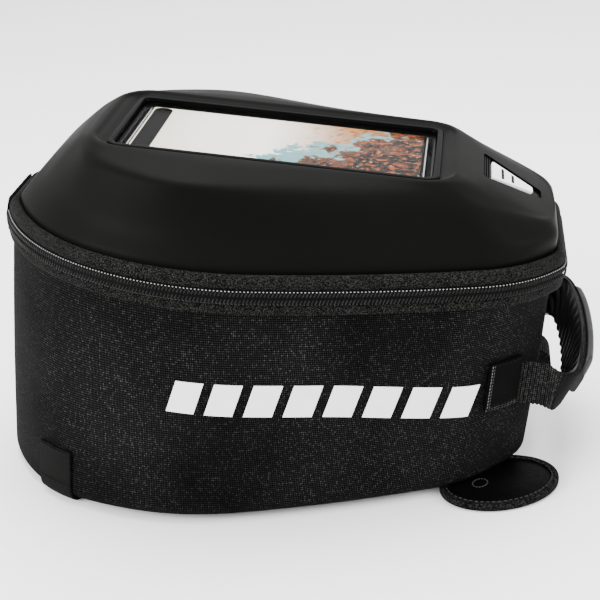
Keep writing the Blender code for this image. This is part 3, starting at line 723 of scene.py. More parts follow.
def picture():
    """Generic picture for the display card: pale sky, a far ridge, brown hills and dark ground."""
    s = Surface("card_picture", Specular_IOR_Level=0.04, Coat_Weight=0.01, Coat_Roughness=0.03)
    square = s.node("Mapping", {"Vector": s.place("UV"), "Scale": (2.1, 1, 1)}).outputs["Vector"]
    axes = s.node("SeparateXYZ", {"Vector": s.place("UV")})
    along, up = axes.outputs[0], axes.outputs[1]
    sky = s.ramp(along, (0.0, (0.62, 0.56, 0.46)), (0.22, (0.80, 0.76, 0.68)), (0.45, (0.84, 0.81, 0.74)),
                 (0.72, (0.35, 0.18, 0.08)), (1.0, (0.12, 0.040, 0.012)))
    wander = s.noise(5.0, 6.0, square, 0.65)

    def below(level, slope, rough_by):
        """1 under a wandering line over the card."""
        line = s.math("ADD", s.math("MULTIPLY", along, slope), level)
        line = s.math("ADD", line, s.math("MULTIPLY", s.math("SUBTRACT", wander, 0.5), rough_by))
        return s.math("LESS_THAN", up, line)

    far = s.mix(below(-0.80, 2.1, 1.5), sky, (0.13, 0.28, 0.29))
    mid = s.mix(below(-1.45, 2.7, 2.2), far, (0.050, 0.019, 0.009))
    near = s.mix(below(-2.00, 3.0, 2.6), mid, (0.007, 0.004, 0.003))
    grit = s.noise(16.0, 5.0, square, 0.7)
    glow = s.math("MULTIPLY", s.ramp(grit, (0.53, 0.0), (0.58, 1.0)), s.ramp(along, (0.55, 0.0), (0.75, 1.0)))
    lit = s.mix(glow, near, (0.20, 0.045, 0.008))
    spark = s.math("MULTIPLY", s.ramp(s.noise(34.0, 3.0, square), (0.64, 0.0), (0.67, 1.0)),
                   s.ramp(along, (0.48, 0.0), (0.60, 1.0)))
    s.colour(s.mix(spark, lit, (0.40, 0.29, 0.19)))
    s.rough(s.noise(8.0), 0.10, 0.2)
    return s.done()


OXFORD, TAPE, LINING_CLOTH, BINDING = oxford_cloth(), zip_tape(), lining_cloth(), binding_tape()
WEBBING, SKIN, GLOSS, TEETH = webbing_cloth(), lid_skin(), black_gloss(), nylon_teeth()
WHITE_THREAD = thread("white_thread", (0.10, 0.10, 0.097), (0.40, 0.40, 0.385))
BRIGHT_THREAD = thread("bright_thread", 0.05, (0.15, 0.15, 0.145))
GREY_THREAD = thread("grey_thread", 0.02, (0.07, 0.07, 0.068))
BLACK_THREAD = thread("black_thread", 0.0015, 0.006)
LAPPED = lapped_cloth()
REFLECTIVE, RUBBER, COVER, COATED = reflective(), grip_rubber(), grip_cover(), coated_fabric()
BOARD = moulded("board_sheet", (0.014, 0.014, 0.015), (0.022, 0.022, 0.023))
FOAM = moulded("foam", 0.010, 0.018, (0.8, 0.95), 0.0004)
BASE_RUBBER = moulded("base_rubber", (0.010, 0.010, 0.011), (0.016, 0.016, 0.017), (0.55, 0.75), 0.0003)
METAL = moulded("slider_metal", 0.02, 0.04, (0.22, 0.4), 0.00005, 0.6)


# ---------------------------------------------------------------- body
def floor_height(x, lift=FLOOR_LIFT):
    """Height of the level floor in the bag's tilted frame; the cloth sags a little at the front."""
    sag = FRONT_SAG * ease(-np.asarray(x), 0.075, 0.115)
    return -BODY_DEPTH + math.tan(TOP_SLOPE) * np.asarray(x) + (lift - sag) / math.cos(TOP_SLOPE)


def bottom_radius(x):
    """Radius of the body's bottom edge, which is tighter at the front."""
    return BOTTOM_RADIUS - 0.0025 * ease(-np.asarray(x), 0.060, 0.115)


def wall_swell(height):
    """How far the wall stands out of true at a height from 0, the bottom, to 1, the zip."""
    return 0.0007 * np.sin(math.pi * height)


def rear_tuck(x, drop):
    """How far the wall is drawn in at the rear, below the zip's tape."""
    return REAR_TUCK * ease(np.asarray(x), 0.100, 0.138) * ease(np.asarray(drop), 0.004, 0.018)


def body_rings(off=0.0, rows=26, settle=SETTLE):
    """The body's rounded bottom and wall, floor edge first, off outside its true surface."""
    rings = []
    for angle in np.linspace(90, 0, CORNER_STEPS):
        a = math.radians(angle)
        radius = bottom_radius(RIM[:, 0]) + off
        plan = RIM - OUT * (WALL_INSET - off + radius * (1 - math.cos(a)))[:, None]
        lift = FLOOR_LIFT - settle - off + radius * (1 - math.sin(a))
        rings.append(at_height(plan, floor_height(plan[:, 0], lift)))
    top = rim_ring(WALL_INSET - off, -0.0036)
    low = rings[-1]
    for t in np.linspace(0, 1, rows)[1:]:
        ring = low + (top - low) * t
        ring[:, :2] += OUT * wall_swell(t)
        rings.append(ring)
    for ring in rings:
        ring[:, :2] -= OUT * rear_tuck(RIM[:, 0], ZIP_RISE * RIM[:, 0] - ring[:, 2])[:, None]
    return rings


def body_shell():
    outer = body_rings()
    inner = body_rings(-WALL, 8, 0.0)
    floor = cap_disc(outer[0], 14, lambda x: floor_height(x, FLOOR_LIFT - SETTLE))
    inner_floor = cap_disc(inner[0], 6, lambda x: floor_height(x, FLOOR_LIFT + WALL))
    rings = floor[:-1] + outer + inner[::-1] + inner_floor[:-1][::-1]
    obj = grid_mesh("body_cloth", rings, OXFORD, run=RUN)
    close_ends(obj, RING_COUNT)
    fit(obj, "body", "oxford", "body_shell")


def close_ends(obj, count, last=True):
    """Fills a loft's first ring of count points, and its last ring too unless told not to."""
    bm = bmesh.new()
    bm.from_mesh(obj.data)
    verts = list(bm.verts)
    bm.faces.new(verts[count - 1::-1])
    if last:
        bm.faces.new(verts[-count:])
    bmesh.ops.recalc_face_normals(bm, faces=bm.faces)
    bm.to_mesh(obj.data)
    bm.free()


def body_lining():
    """Loose lining inside the body, with faint upright ripples in its wall."""
    wall_rows, ripple_depth = 12, 0.0005
    rings = body_rings(-WALL - LINING_GAP, wall_rows, 0.0)
    rng = np.random.default_rng(4)
    ripple = soften(rng.normal(0, 1, (RING_COUNT, 1)), 60)[:, 0]
    ripple *= ripple_depth / np.abs(ripple).max()
    for k, ring in enumerate(rings[CORNER_STEPS:-1]):
        swing = math.sin(math.pi * (k + 1) / wall_rows)
        ring[:, :2] -= OUT * (ripple_depth + ripple * swing)[:, None]
    floor = cap_disc(rings[0], 6, lambda x: floor_height(x, FLOOR_LIFT + WALL + LINING_GAP))
    obj = grid_mesh("inner_lining", floor[:-1] + rings, LINING_CLOTH, run=RUN)
    close_ends(obj, RING_COUNT, last=False)
    thicken(obj, LINING)
    fit(obj, "body", "lining", "body_lining")


def wall_spot(index, drop, off=0.0):
    """A point on the wall at a ring index (a float) and a drop below the zip line, and the normal there."""
    index = np.asarray(index, float) % RING_COUNT
    low = np.floor(index).astype(int) % RING_COUNT
    part = (index - np.floor(index))[..., None]
    plan = RIM[low] * (1 - part) + RIM[(low + 1) % RING_COUNT] * part
    out = OUT[low] * (1 - part) + OUT[(low + 1) % RING_COUNT] * part
    depth = BODY_DEPTH - BOTTOM_RADIUS - FLOOR_LIFT
    swell = wall_swell(np.clip(1 - np.asarray(drop) / depth, 0, 1))
    tuck = rear_tuck(plan[..., 0], drop)
    plan = plan + out * (np.asarray(off - WALL_INSET) + swell - tuck)[..., None]
    rise = ZIP_RISE * plan[..., 0] - drop
    return np.concatenate([plan, rise[..., None]], -1), np.concatenate([out, np.zeros_like(part)], -1)


def index_at(x, side):
    """Ring index where the near (-1) or far (1) side passes a given x."""
    half = np.where(RIM[:, 1] * side > 0)[0]
    half = half[np.argsort(RIM[half, 0])]
    unwrapped = np.unwrap(half * math.tau / RING_COUNT) * RING_COUNT / math.tau
    return np.interp(x, RIM[half, 0], unwrapped)


def plate_faces(rows, cols, start=0):
    """Faces of a plate whose points are two layers, inner and outer, of rows and columns."""
    size = rows * cols
    faces = []
    for a in (r * cols + c for r in range(rows - 1) for c in range(cols - 1)):
        faces.append((a, a + cols, a + cols + 1, a + 1))
        faces.append((a + size, a + size + 1, a + size + cols + 1, a + size + cols))
    edge = list(range(cols)) + [r * cols + cols - 1 for r in range(1, rows)]
    edge += [(rows - 1) * cols + c for c in range(cols - 2, -1, -1)]
    edge += [r * cols for r in range(rows - 2, 0, -1)]
    faces += [(a, b, b + size, a + size) for a, b in zip(edge, edge[1:] + edge[:1])]
    return [tuple(start + i for i in face) for face in faces]


def side_bars():
    """Eight plain slanted reflective bars on each side, in place of lettering."""
    count, wide, slant, top, low, lift = 8, 0.0145, 0.0045, 0.0540, 0.0720, 0.0045
    front, pitch = -0.0440, 0.0199
    rows, cols = 5, 7
    for name, side in SIDES:
        verts, faces = [], []
        for bar in range(count):
            faces += plate_faces(rows, cols, len(verts))
            for level in (0.00035, 0.00075):
                for down in np.linspace(0, 1, rows):
                    for across in np.linspace(0, 1, cols):
                        x = front + bar * pitch + wide * across + slant * (1 - down)
                        drop = top + (low - top) * down - lift * (1 - ease(x, 0.030, 0.115))
                        verts.append(wall_spot(index_at(x, side), drop, level)[0])
        obj = finish_mesh("side_bars_" + name, to_world(verts), faces, REFLECTIVE)
        fit(obj, "body", "reflective", "side_print_" + name)


# ---------------------------------------------------------------- zip
def zip_tapes():
    lower = [rim_ring(d, r) for d, r in ((0.0032, -0.0100), (0.0008, -0.0099), (0.0001, -0.0090),
                                         (0.0000, -0.0068), (0.0004, -0.0048), (0.0013, -0.0034),
                                         (0.0030, -0.0032))]
    upper = [rim_ring(d, r) for d, r in ((0.0030, 0.0030), (0.0013, 0.0032), (0.0005, 0.0040),
                                         (0.0002, 0.0058), (0.0008, 0.0078), (0.0024, 0.0098),
                                         (0.0046, 0.0104), (0.0062, 0.0090), (0.0050, 0.0060))]
    for name, rings, body, node in (("zip_tape_lower", lower, "body", "lower_zip_band"),
                                    ("zip_tape_upper", upper, "lid", "upper_zip_band")):
        radii = [0] + [0.0012] * (len(rings) - 2) + [0]
        obj = grid_mesh(name, filleted(rings, radii, 3), TAPE, close=True, run=RUN)
        fit(obj, body, "rim_tape", node)


def zip_line(rise, out, count):
    """Evenly spaced points off the zip by rise and out, the steps between them and the normals there."""
    ring = rim_ring(-out, rise)
    spots, _ = resample(ring, count)
    outs, _ = resample_with(ring, at_height(OUT, 0), count, True)
    return spots, np.roll(spots, -1, 0) - spots, outs


def off_hinge(points):
    """Which points are clear of the cloth hinge at the front."""
    return ~((points[:, 0] < 0) & (np.abs(points[:, 1]) < HINGE_WIDTH / 2 + 0.0005))


def zip_teeth():
    """Two rows of coil teeth that lean the same way, and the stitches that hold them."""
    count = round(RIM_LENGTH / TOOTH_PITCH)
    long_tooth = bead(0.0031, 0.00085, 0.0010)
    short_tooth = bead(0.0024, 0.00080, 0.0010)
    for name, rise, tooth, phase, body, node in (
            ("zip_coil_lower", -0.0021, long_tooth, 0.0, "body", "lower_zip_row"),
            ("zip_coil_upper", 0.0016, short_tooth, 0.5, "lid", "upper_zip_row")):
        spots, step, outs = zip_line(rise, 0.0008, count)
        spots = spots + step * phase
        along = unit(np.roll(spots, -1, 0) - np.roll(spots, 1, 0))
        up = np.cross(along, outs)
        axes = frames_along(up * math.cos(TOOTH_LEAN) - along * math.sin(TOOTH_LEAN), outs)
        keep = off_hinge(spots)
        obj = scatter(name, tooth, spots[keep], axes[keep], TEETH)
        fit(obj, body, "zip_teeth", node)
    for name, rise, body, material in (("zip_stitch_upper", 0.0030, "lid", WHITE_THREAD),
                                       ("zip_stitch_lower", -0.0036, "body", GREY_THREAD)):
        spots, _, outs = zip_line(rise, 0.0001, count)
        axes = frames_along(np.roll(spots, -1, 0) - np.roll(spots, 1, 0), outs)
        keep = off_hinge(spots)
        obj = scatter(name, bead(0.0008, 0.0006, 0.0006), spots[keep], axes[keep], material)
        fit(obj, body, "zip_teeth")


def zip_core():
    """Dark cord behind the teeth, one half for each side of the zip."""
    for name, low, high, body in (("zip_core_lower", -0.0036, -0.0001, "body"),
                                  ("zip_core_upper", 0.0001, 0.0034, "lid")):
        rings = [rim_ring(d, r) for d, r in ((0.0010, low), (0.0004, low), (0.0004, high), (0.0010, high))]
        obj = grid_mesh(name, rings, BLACK_THREAD, close=True, run=RUN)
        fit(obj, body, "zip_teeth")


# ---------------------------------------------------------------- lid
def crease_depth(x):
    return 0.014 - 0.008 * ease(x, 0.085, 0.150)


def crease_rise(x):
    return 0.023 - 0.004 * ease(x, 0.085, 0.150)


def plateau_height(x):
    return TOP_HEIGHT + 0.0015 - FACET_SLOPE * np.maximum(0.0, x - FACET_START)


def lid_profile():
    """Control rings of the lid's outer face from its hidden flange to the window, and their fillets."""
    x = RIM[:, 0]
    rim = [(rim_ring(0.0044, 0.0040), 0), (rim_ring(0.0056, 0.0072), 0.001),
           (rim_ring(0.0064, 0.0092), 0.001),
           (rim_ring(0.0068 - 0.0008 * ease(x, 0.085, 0.15), 0.0125), 0.003)]
    crease = rim_ring(crease_depth(x), crease_rise(x), 6)
    edge = polar_ring(plateau_outline(), plateau_height)
    edge = soften(edge, 6)
    shoulder = crease * 0.45 + edge * 0.55 + (0, 0, 0.0018)
    top = TOP_HEIGHT + 0.0058
    recess = polar_ring(window_rect(RECESS_X, RECESS_Y, RECESS_R), top)
    crown = edge * 0.30 + recess * 0.70 + (0, 0, 0.0009)
    step = polar_ring(window_rect(RECESS_X - 0.0020, RECESS_Y - 0.0016, RECESS_R - 0.002), top - 0.0014)
    riser = polar_ring(window_rect(LEDGE_X, LEDGE_Y, LEDGE_R), top - 0.0017)
    lip = polar_ring(window_rect(WINDOW_X + 0.0026, WINDOW_Y + 0.0024, 0.007), TOP_HEIGHT + 0.0030)
    hole = polar_ring(window_rect(WINDOW_X, WINDOW_Y, WINDOW_R), TOP_HEIGHT + 0.0027)
    inside = polar_ring(window_rect(WINDOW_X, WINDOW_Y, WINDOW_R), TOP_HEIGHT - 0.0004)
    return rim + [(crease, 0.0075), (shoulder, 0.012), (edge, 0.0085), (crown, 0.012), (recess, 0.0016),
                  (step, 0.0010), (riser, 0.0008), (lip, 0.0006), (hole, 0.0003), (inside, 0)]


FACET_ANGLE = math.atan2(TOP_HEIGHT + 0.0058 - (TOP_HEIGHT + 0.0015 - FACET_SLOPE * (0.141 - FACET_START)),
                         0.141 - (RECESS_X + WINDOW_SHIFT))
BADGE_X = 0.1165
BADGE_PLACE = (BAG @ Matrix.Translation((BADGE_X, 0, TOP_HEIGHT + 0.0015 - FACET_SLOPE * (0.141 - FACET_START)
                                         + math.tan(FACET_ANGLE) * (0.141 - BADGE_X)))
               @ Matrix.Rotation(FACET_ANGLE, 4, "Y"))


def lid_shell():
    control, radii = zip(*lid_profile())
    rings = filleted(list(control), list(radii), 5)
    dense = [rings[0]]
    for a, b in zip(rings, rings[1:]):
        gap = np.linalg.norm(b - a, axis=1).mean()
        dense += between(a, b, int(gap / 0.004)) + [b]
    obj = grid_mesh("lid_moulding", dense, SKIN, run=RUN, sharp=70)
    thicken(obj, 0.0026)
    cut_badge_pocket(obj)
    fit(obj, "lid", "lid_skin", "lid_shell")


def trapezoid(front, rear, wide, narrow, corner):
    """Rounded trapezoid with its wide side to the front, anticlockwise."""
    return rounded(((front, -wide), (rear, -narrow), (rear, narrow), (front, wide)), corner, 4)


def slab(name, outline, low, high, material, place, edge=0.0):
    """A plate with an outline between two heights, with its upper edge eased."""
    outline = np.asarray(outline, float)
    middle = outline.mean(0)
    size = np.abs(outline - middle).max()
    levels = [(low, 1.0), (high - edge, 1.0), (high, 1 - edge / size)] if edge else [(low, 1), (high, 1)]
    grid = [at_height(middle + (outline - middle) * k, z) for z, k in levels]
    obj = grid_mesh(name, grid, material, place=place, sharp=40)
    close_ends(obj, len(outline))
    return obj


def cut_badge_pocket(lid):
    """Shallow pocket on the lid's rear slope, cut with a plate that is then thrown away."""
    cutter = slab("badge_pocket", trapezoid(-0.0150, 0.0200, 0.0185, 0.0060, 0.0025), -0.0013, 0.006,
                  SKIN, BADGE_PLACE)
    mod = lid.modifiers.new("Pocket", "BOOLEAN")
    mod.object = cutter
    mod.solver = "EXACT"
    apply_modifiers(lid)
    bpy.data.objects.remove(cutter)
    lid.data.shade_smooth()
    lid.data.set_sharp_from_angle(angle=math.radians(45))


def badge():
    """Generic pale badge: a rounded trapezoid with two plain dark slots, and ridges ahead of it."""
    fit(slab("badge_floor", trapezoid(-0.0140, 0.0192, 0.0172, 0.0056, 0.0022), -0.00135, -0.0011,
             GLOSS, BADGE_PLACE), "lid", "gloss_black")
    fit(slab("badge_plate", trapezoid(-0.0098, 0.0148, 0.0128, 0.0034, 0.0016), -0.0011, 0.0004,
             REFLECTIVE, BADGE_PLACE, 0.0003), "lid", "reflective", "lid_inlay")
    for k, (x, half) in enumerate(((-0.0035, 0.0080), (0.0025, 0.0060))):
        fit(slab(f"badge_slot_{k + 1}", trapezoid(x - 0.0008, x + 0.0008, half, half - 0.0006, 0.0005),
                 0.0003, 0.0005, GLOSS, BADGE_PLACE), "lid", "gloss_black")
    for k in range(3):
        x = -0.0138 + 0.0013 * k
        half = 0.0168 - 0.0005 * k
        fit(slab(f"badge_ridge_{k + 1}", trapezoid(x - 0.00035, x + 0.00035, half, half, 0.0002),
                 -0.0012, -0.0001, SKIN, BADGE_PLACE, 0.0001), "lid", "lid_skin")


def lid_lining():
    control = [r for r, _ in lid_profile()][2:6]
    rings = filleted([ring * (0.955, 0.945, 1) - (0, 0, 0.0055) for ring in control],
                     [0, 0.003, 0.006, 0], 4)
    obj = grid_mesh("upper_lining", rings, LINING_CLOTH, run=RUN)
    thicken(obj, LINING)
    fit(obj, "lid", "lining", "lid_lining")


# ---------------------------------------------------------------- window and phone pocket
def window_ring(name, section, half_x, half_y, corner, material):
    """A rounded rectangular rim about the window; its section holds (grow, height) pairs."""
    grid = [at_height(window_rect(half_x + grow, half_y + grow, max(0.0006, corner + grow)), TOP_HEIGHT + z)
            for grow, z in section]
    return grid_mesh(name, grid, material, close=True)


def window():
    section = rounded(((0, 0.0004), (0, 0.0026), (0.0008, 0.0042), (0.0034, 0.0042), (0.0040, 0.0036),
                       (0.0040, 0.0030), (0.0006, 0.0030), (0.0006, 0.0004)), 0.0004)
    rim = window_ring("window_rim", section, WINDOW_X - 0.0018, WINDOW_Y - 0.0018, 0.0036,
                      black_gloss("rim_gloss", (0.15, 0.3), 0.00012))
    fit(rim, "lid", "gloss_black", "window_trim")
    film = slab("window_film_sheet", window_rect(WINDOW_X - 0.0021, WINDOW_Y - 0.0021, 0.0033),
                TOP_HEIGHT + 0.0010, TOP_HEIGHT + 0.0014, clear_film(), BAG)
    fit(film, "lid", "clear_film", "window_film")


CARD_X, CARD_Y = 0.079, 0.0375


def display_card():
    """Phone-sized card: a black body, a picture on its face, and a dark strip at its front end."""
    body = slab("card_body", window_rect(CARD_X, CARD_Y, 0.009), TOP_HEIGHT - 0.008, TOP_HEIGHT,
                black_gloss("card_black"), BAG, 0.0006)
    fit(body, "lid", "gloss_black", "display_card")

    face = rounded_rect(CARD_X - 0.0030, CARD_Y - 0.0012, 0.0012) + (WINDOW_SHIFT - 0.0004, 0)
    obj = slab("card_picture_face", face, TOP_HEIGHT - 0.0002, TOP_HEIGHT + 0.0002, picture(), BAG)
    plan_uv(obj, face.min(0), np.ptp(face, axis=0))
    fit(obj, "lid", "card_face")

    strip = rounded_rect(0.0050, 0.0345, 0.0044) + (WINDOW_SHIFT - CARD_X + 0.0086, 0.0010)
    obj = slab("card_strip", strip, TOP_HEIGHT, TOP_HEIGHT + 0.0004, black_gloss("strip_gloss"), BAG)
    fit(obj, "lid", "gloss_black")
    for k, x in enumerate((-CARD_X + 0.0017, CARD_X - 0.0013)):
        line = rounded_rect(0.00035, 0.0330, 0.0003) + (WINDOW_SHIFT + x, 0)
        obj = slab(f"card_edge_{k + 1}", line, TOP_HEIGHT - 0.0001, TOP_HEIGHT + 0.0006,
                   moulded(f"card_metal_{k + 1}", (0.45, 0.45, 0.46), 0.6, (0.2, 0.35), 0.00002, 1.0),
                   BAG)
        fit(obj, "lid", "slider_metal")


def plan_uv(obj, low=(0, 0), size=(1, 1)):
    """UV over the bag's plan: in metres, or from 0 to 1 over a rectangle of a size."""
    inverse = BAG.inverted()
    layer = obj.data.uv_layers.active
    for loop in obj.data.loops:
        p = inverse @ obj.data.vertices[loop.vertex_index].co
        layer.data[loop.index].uv = ((p.x - low[0]) / size[0], (p.y - low[1]) / size[1])


def phone_pocket():
    """Frame, hinged flap and foam pad that hold a phone against the window from below."""
    section = rounded(((0, -0.0118), (0, -0.0012), (0.0045, -0.0012), (0.0045, -0.0024), (0.0016, -0.0024),
                       (0.0016, -0.0118)), 0.0003, 2)
    obj = window_ring("pocket_rim", section, 0.0812, 0.0402, 0.004, BOARD)
    fit(obj, "lid", "board", "pocket_frame")

    flap = window_rect(0.0826, 0.0416, 0.006)
    obj = slab("pocket_door", flap, TOP_HEIGHT - 0.0136, TOP_HEIGHT - 0.0121, LINING_CLOTH, BAG, 0.0004)
    plan_uv(obj)
    fit(obj, "pocket_flap", "lining", "pocket_flap")
    sewn = window_rect(0.0800, 0.0390, 0.005)
    line = at_height(sewn, TOP_HEIGHT - 0.0137)
    thread_row = stitch_row("pocket_door_stitch", line, np.tile((0, 0, -1.0), (len(sewn), 1)), GREY_THREAD,
                            closed=True)
    fit(thread_row, "pocket_flap", "lining")

    pad = window_rect(0.074, 0.033, 0.006)
    middle = np.array((WINDOW_SHIFT, 0))
    rings = [at_height((pad - middle) * k + middle, TOP_HEIGHT + z)
             for k, z in ((0.985, -0.0118), (1.0, -0.0110), (1.0, -0.0095), (0.985, -0.0086),
                          (0.95, -0.0083))]
    obj = grid_mesh("pocket_cushion", rings, FOAM)
    close_ends(obj, len(pad))
    fit(obj, "pocket_flap", "foam", "pocket_pad")


# ---------------------------------------------------------------- handle and straps
GRIP_LEAN = math.radians(20)         # the grip leans outwards at its top
GRIP_NARROWING = 0.16                # the webbing is folded in a little inside the grip
GRIP_RISE, GRIP_SAG = 0.0015, 0.0062  # the loose part sits this much up, and droops to the near side
COVER_START_FAR, COVER_START_NEAR, SLEEVE_START = 0.1565, 0.1630, 0.1535
TAB_HEIGHT = 0.0310
WEBBING_START = 0.1185               # the handle's webbing is sewn to the walls from this x
HANDLE_BEND = 0.1415                 # and its bend places with the handle are set about this one, though nothing bends it


def handle_line():
    """The handle's middle line in plan, from the far wall round the grip to the near wall."""
    start, end = index_at(WEBBING_START, 1), index_at(0.1375, 1)
    wall, _ = wall_spot(np.linspace(start, end, 14), -BAND_LEVEL, 0.0016)
    points = [p[:2] for p in wall] + [np.array((0.1462, 0.0512)), np.array((0.1510, 0.0515))]
    points += [np.array(p) for p in GRIP_HALF]
    far = np.array(points)
    return np.vstack([far, (far * (1, -1))[-2::-1]])


def plan_normals(line):
    """Unit normals to the left of a line that runs far to near, which point outwards."""
    along = unit(np.gradient(line, axis=0))
    return at_height(np.column_stack([-along[:, 1], along[:, 0]]), 0)


def handle():
    """Webbing strap that bends where it leaves the walls, with the grip on its loose part."""
    plan = curve_through(handle_line(), 6)
    plan, length = resample(plan, 900, closed=False)
    plan = smooth_open(plan, 60)
    flat_out = plan_normals(plan)
    lean = (GRIP_LEAN * ease(plan[:, 0], 0.148, 0.160))[:, None]
    across = np.array((0, 0, 1)) * np.cos(lean) + flat_out * np.sin(lean)
    out = flat_out * np.cos(lean) - np.array((0, 0, 1)) * np.sin(lean)
    loose = ease(plan[:, 0], 0.146, 0.158)
    level = BAND_LEVEL + loose * (GRIP_RISE + GRIP_SAG * np.clip(plan[:, 1] / 0.045, -1, 1))
    line = at_height(plan, level)
    narrow = 1 - GRIP_NARROWING * ease(plan[:, 0], 0.156, 0.164)
    run = np.linspace(0, length, len(plan))
    cord = np.abs(np.sin(math.pi * run / CORD))
    strap = ribbon("handle_strap", line, across, out, 0.0247, -0.0011, 0.0007, WEBBING,
                   taper=narrow * (1 + 0.035 * (cord - 0.5)), rib=lambda u, v: 0.0007 * cord, cells=9)
    bend = [to_world((HANDLE_BEND + x, 0, BAND_LEVEL)) for x in (-0.002, 0.008)]
    fit(strap, ("body", "handle", *bend), "webbing", "handle_webbing", "handle_root_near", "handle_root_far")

    grip(line, across, out, narrow)


def grip(line, across, out, narrow):
    """Smooth cover outside the strap, and a cloth sleeve and ribbed pad round its inside."""
    x, y = line[:, 0], line[:, 1]
    held = np.flatnonzero(x > np.where(y > 0, COVER_START_FAR, COVER_START_NEAR))
    part = slice(held[0], held[-1], 4)
    along = np.abs(np.linspace(-1, 1, len(line[part])))
    cover = lofted_grip("grip_shell", line[part], across[part], out[part], 1 - 0.45 * ease(along, 0.75, 1.0),
                        0.0009, 0.0062, 0.0232, COVER)
    held = np.flatnonzero(x > SLEEVE_START)
    part = slice(held[0], held[-1], 4)
    line, across, out = line[part], across[part], out[part]
    along = np.abs(np.linspace(-1, 1, len(line)))
    sleeve = ribbon("grip_sleeve", line, across, out, 0.0262, 0.0009, 0.0017, LAPPED,
                    taper=narrow[part] * (1 - 0.05 * ease(along, 0.9, 1)))
    ribs = ribbed_grip(line, across, out, narrow[part] * (1 - 0.12 * ease(along, 0.8, 1.0)))
    fit(cover, "handle", "grip_cover", "grip_outer")
    fit(ribs, "handle", "grip_rubber", "grip_inner")
    fit(sleeve, "handle", "grip_rubber")


def smooth_open(line, passes):
    for _ in range(passes):
        line[1:-1] = (line[:-2] + 2 * line[1:-1] + line[2:]) / 4
    return line


def lofted_grip(name, line, across, out, taper, low, high, width, material):
    """Rounded bar outside the webbing, narrow at its ends."""
    rows = []
    count = 28
    for k in range(count):
        a = math.tau * k / count
        c, s = math.cos(a), math.sin(a)
        side = math.copysign(abs(c) ** 0.4, c) * width / 2 * taper
        depth = (low + high) / 2 + math.copysign(abs(s) ** 0.6, s) * (high - low) / 2
        rise = low + (depth - low) * (0.5 + 0.5 * taper)
        rows.append(line + out * rise[:, None] + across * side[:, None])
    return grid_mesh(name, rows, material, wrap=False, close=True, ends=True, sharp=60)


def ribbed_grip(line, across, out, taper):
    """Inner pad with slanted ribs."""
    def rib(run, v):
        phase = (run + v * 0.012) / 0.0080
        return 0.0015 * (1 - ease(v, 0.45, 0.95)) * (0.5 + 0.5 * np.cos(phase * math.tau)) ** 0.8
    count = 700
    dense, _ = resample(line, count, closed=False)
    dense_out, _ = resample_with(line, out, count, False)
    dense_across, _ = resample_with(line, across, count, False)
    dense_taper = np.interp(np.linspace(0, 1, count), np.linspace(0, 1, len(taper)), taper)
    return ribbon("grip_ribs", dense, dense_across, -dense_out, 0.0265, 0.0011, 0.0021, RUBBER, rib=rib,
                  taper=dense_taper, cells=31)


def wall_patch(name, side, x_range, drop_range, low, high, material):
    """A flat piece sewn to a wall, between two x and two drops, with rounded edges."""
    rows, cols = 12, 16
    grid = []
    for level in (low, high):
        layer = []
        for drop in np.linspace(*drop_range, rows):
            point, _ = wall_spot(index_at(np.linspace(*x_range, cols), side), np.full(cols, drop), level)
            layer.append(point)
        grid.append(layer)
    obj = finish_mesh(name, to_world(np.reshape(grid, (-1, 3))), plate_faces(rows, cols), material)
    bevel(obj, 0.0005, 2, 50)
    return obj


def wall_patches():
    """Smooth patches that hold the handle's ends to the walls, sewn along the edge away from the handle."""
    face = 0.0033
    upright, level = np.linspace(0.0440, 0.0675, 16), np.linspace(0.1205, 0.1345, 16)
    for name, side in SIDES:
        fit(wall_patch("strap_patch_" + name, side, (0.1180, 0.1362), (0.0425, 0.0685), 0.0006, face, LAPPED),
            "body", "webbing", "handle_patch_" + name)
        for k, (x, material) in enumerate(((0.1189, BRIGHT_THREAD), (0.1200, GREY_THREAD))):
            line, out = wall_spot(index_at(np.full(16, x), side), upright, face)
            fit(stitch_row(f"strap_stitch_{name}_{k + 1}", line, out, material, 0.0017, 0.0013),
                "body", "webbing")
        for k, drop in enumerate((0.0437, 0.0673)):
            line, out = wall_spot(index_at(level, side), np.full(16, drop), face)
            fit(stitch_row(f"strap_hem_{name}_{k + 1}", line, out, BLACK_THREAD, 0.0022, 0.0016),
                "body", "webbing")


def rear_loop():
    """Half-round loop of webbing, sewn to the rear wall above and below."""
    wall_x = -OUTLINE[:, 0].min() - WALL_INSET - REAR_TUCK + 0.0006
    middle = np.array((wall_x, -0.003, -0.0640))
    path = [middle + (0, 0, 0.0210), middle + (0, 0, 0.0120)]
    for angle in np.linspace(90, -90, 19):
        a = math.radians(angle)
        path.append(middle + (0.0014 + 0.0070 * math.cos(a), 0, 0.0098 * math.sin(a)))
    path += [middle - (0, 0, 0.0120), middle - (0, 0, 0.0160)]
    line, _ = resample(np.array(path), 80, closed=False)
    line = smooth_open(line, 3)
    along = unit(np.gradient(line, axis=0))
    out = np.column_stack([-along[:, 2], np.zeros(len(line)), along[:, 0]])
    obj = ribbon("rear_strap_loop", line, (0, 1, 0), out, 0.0205, -0.0055, 0.0014, WEBBING)
    fit(obj, "body", "webbing", "rear_loop")


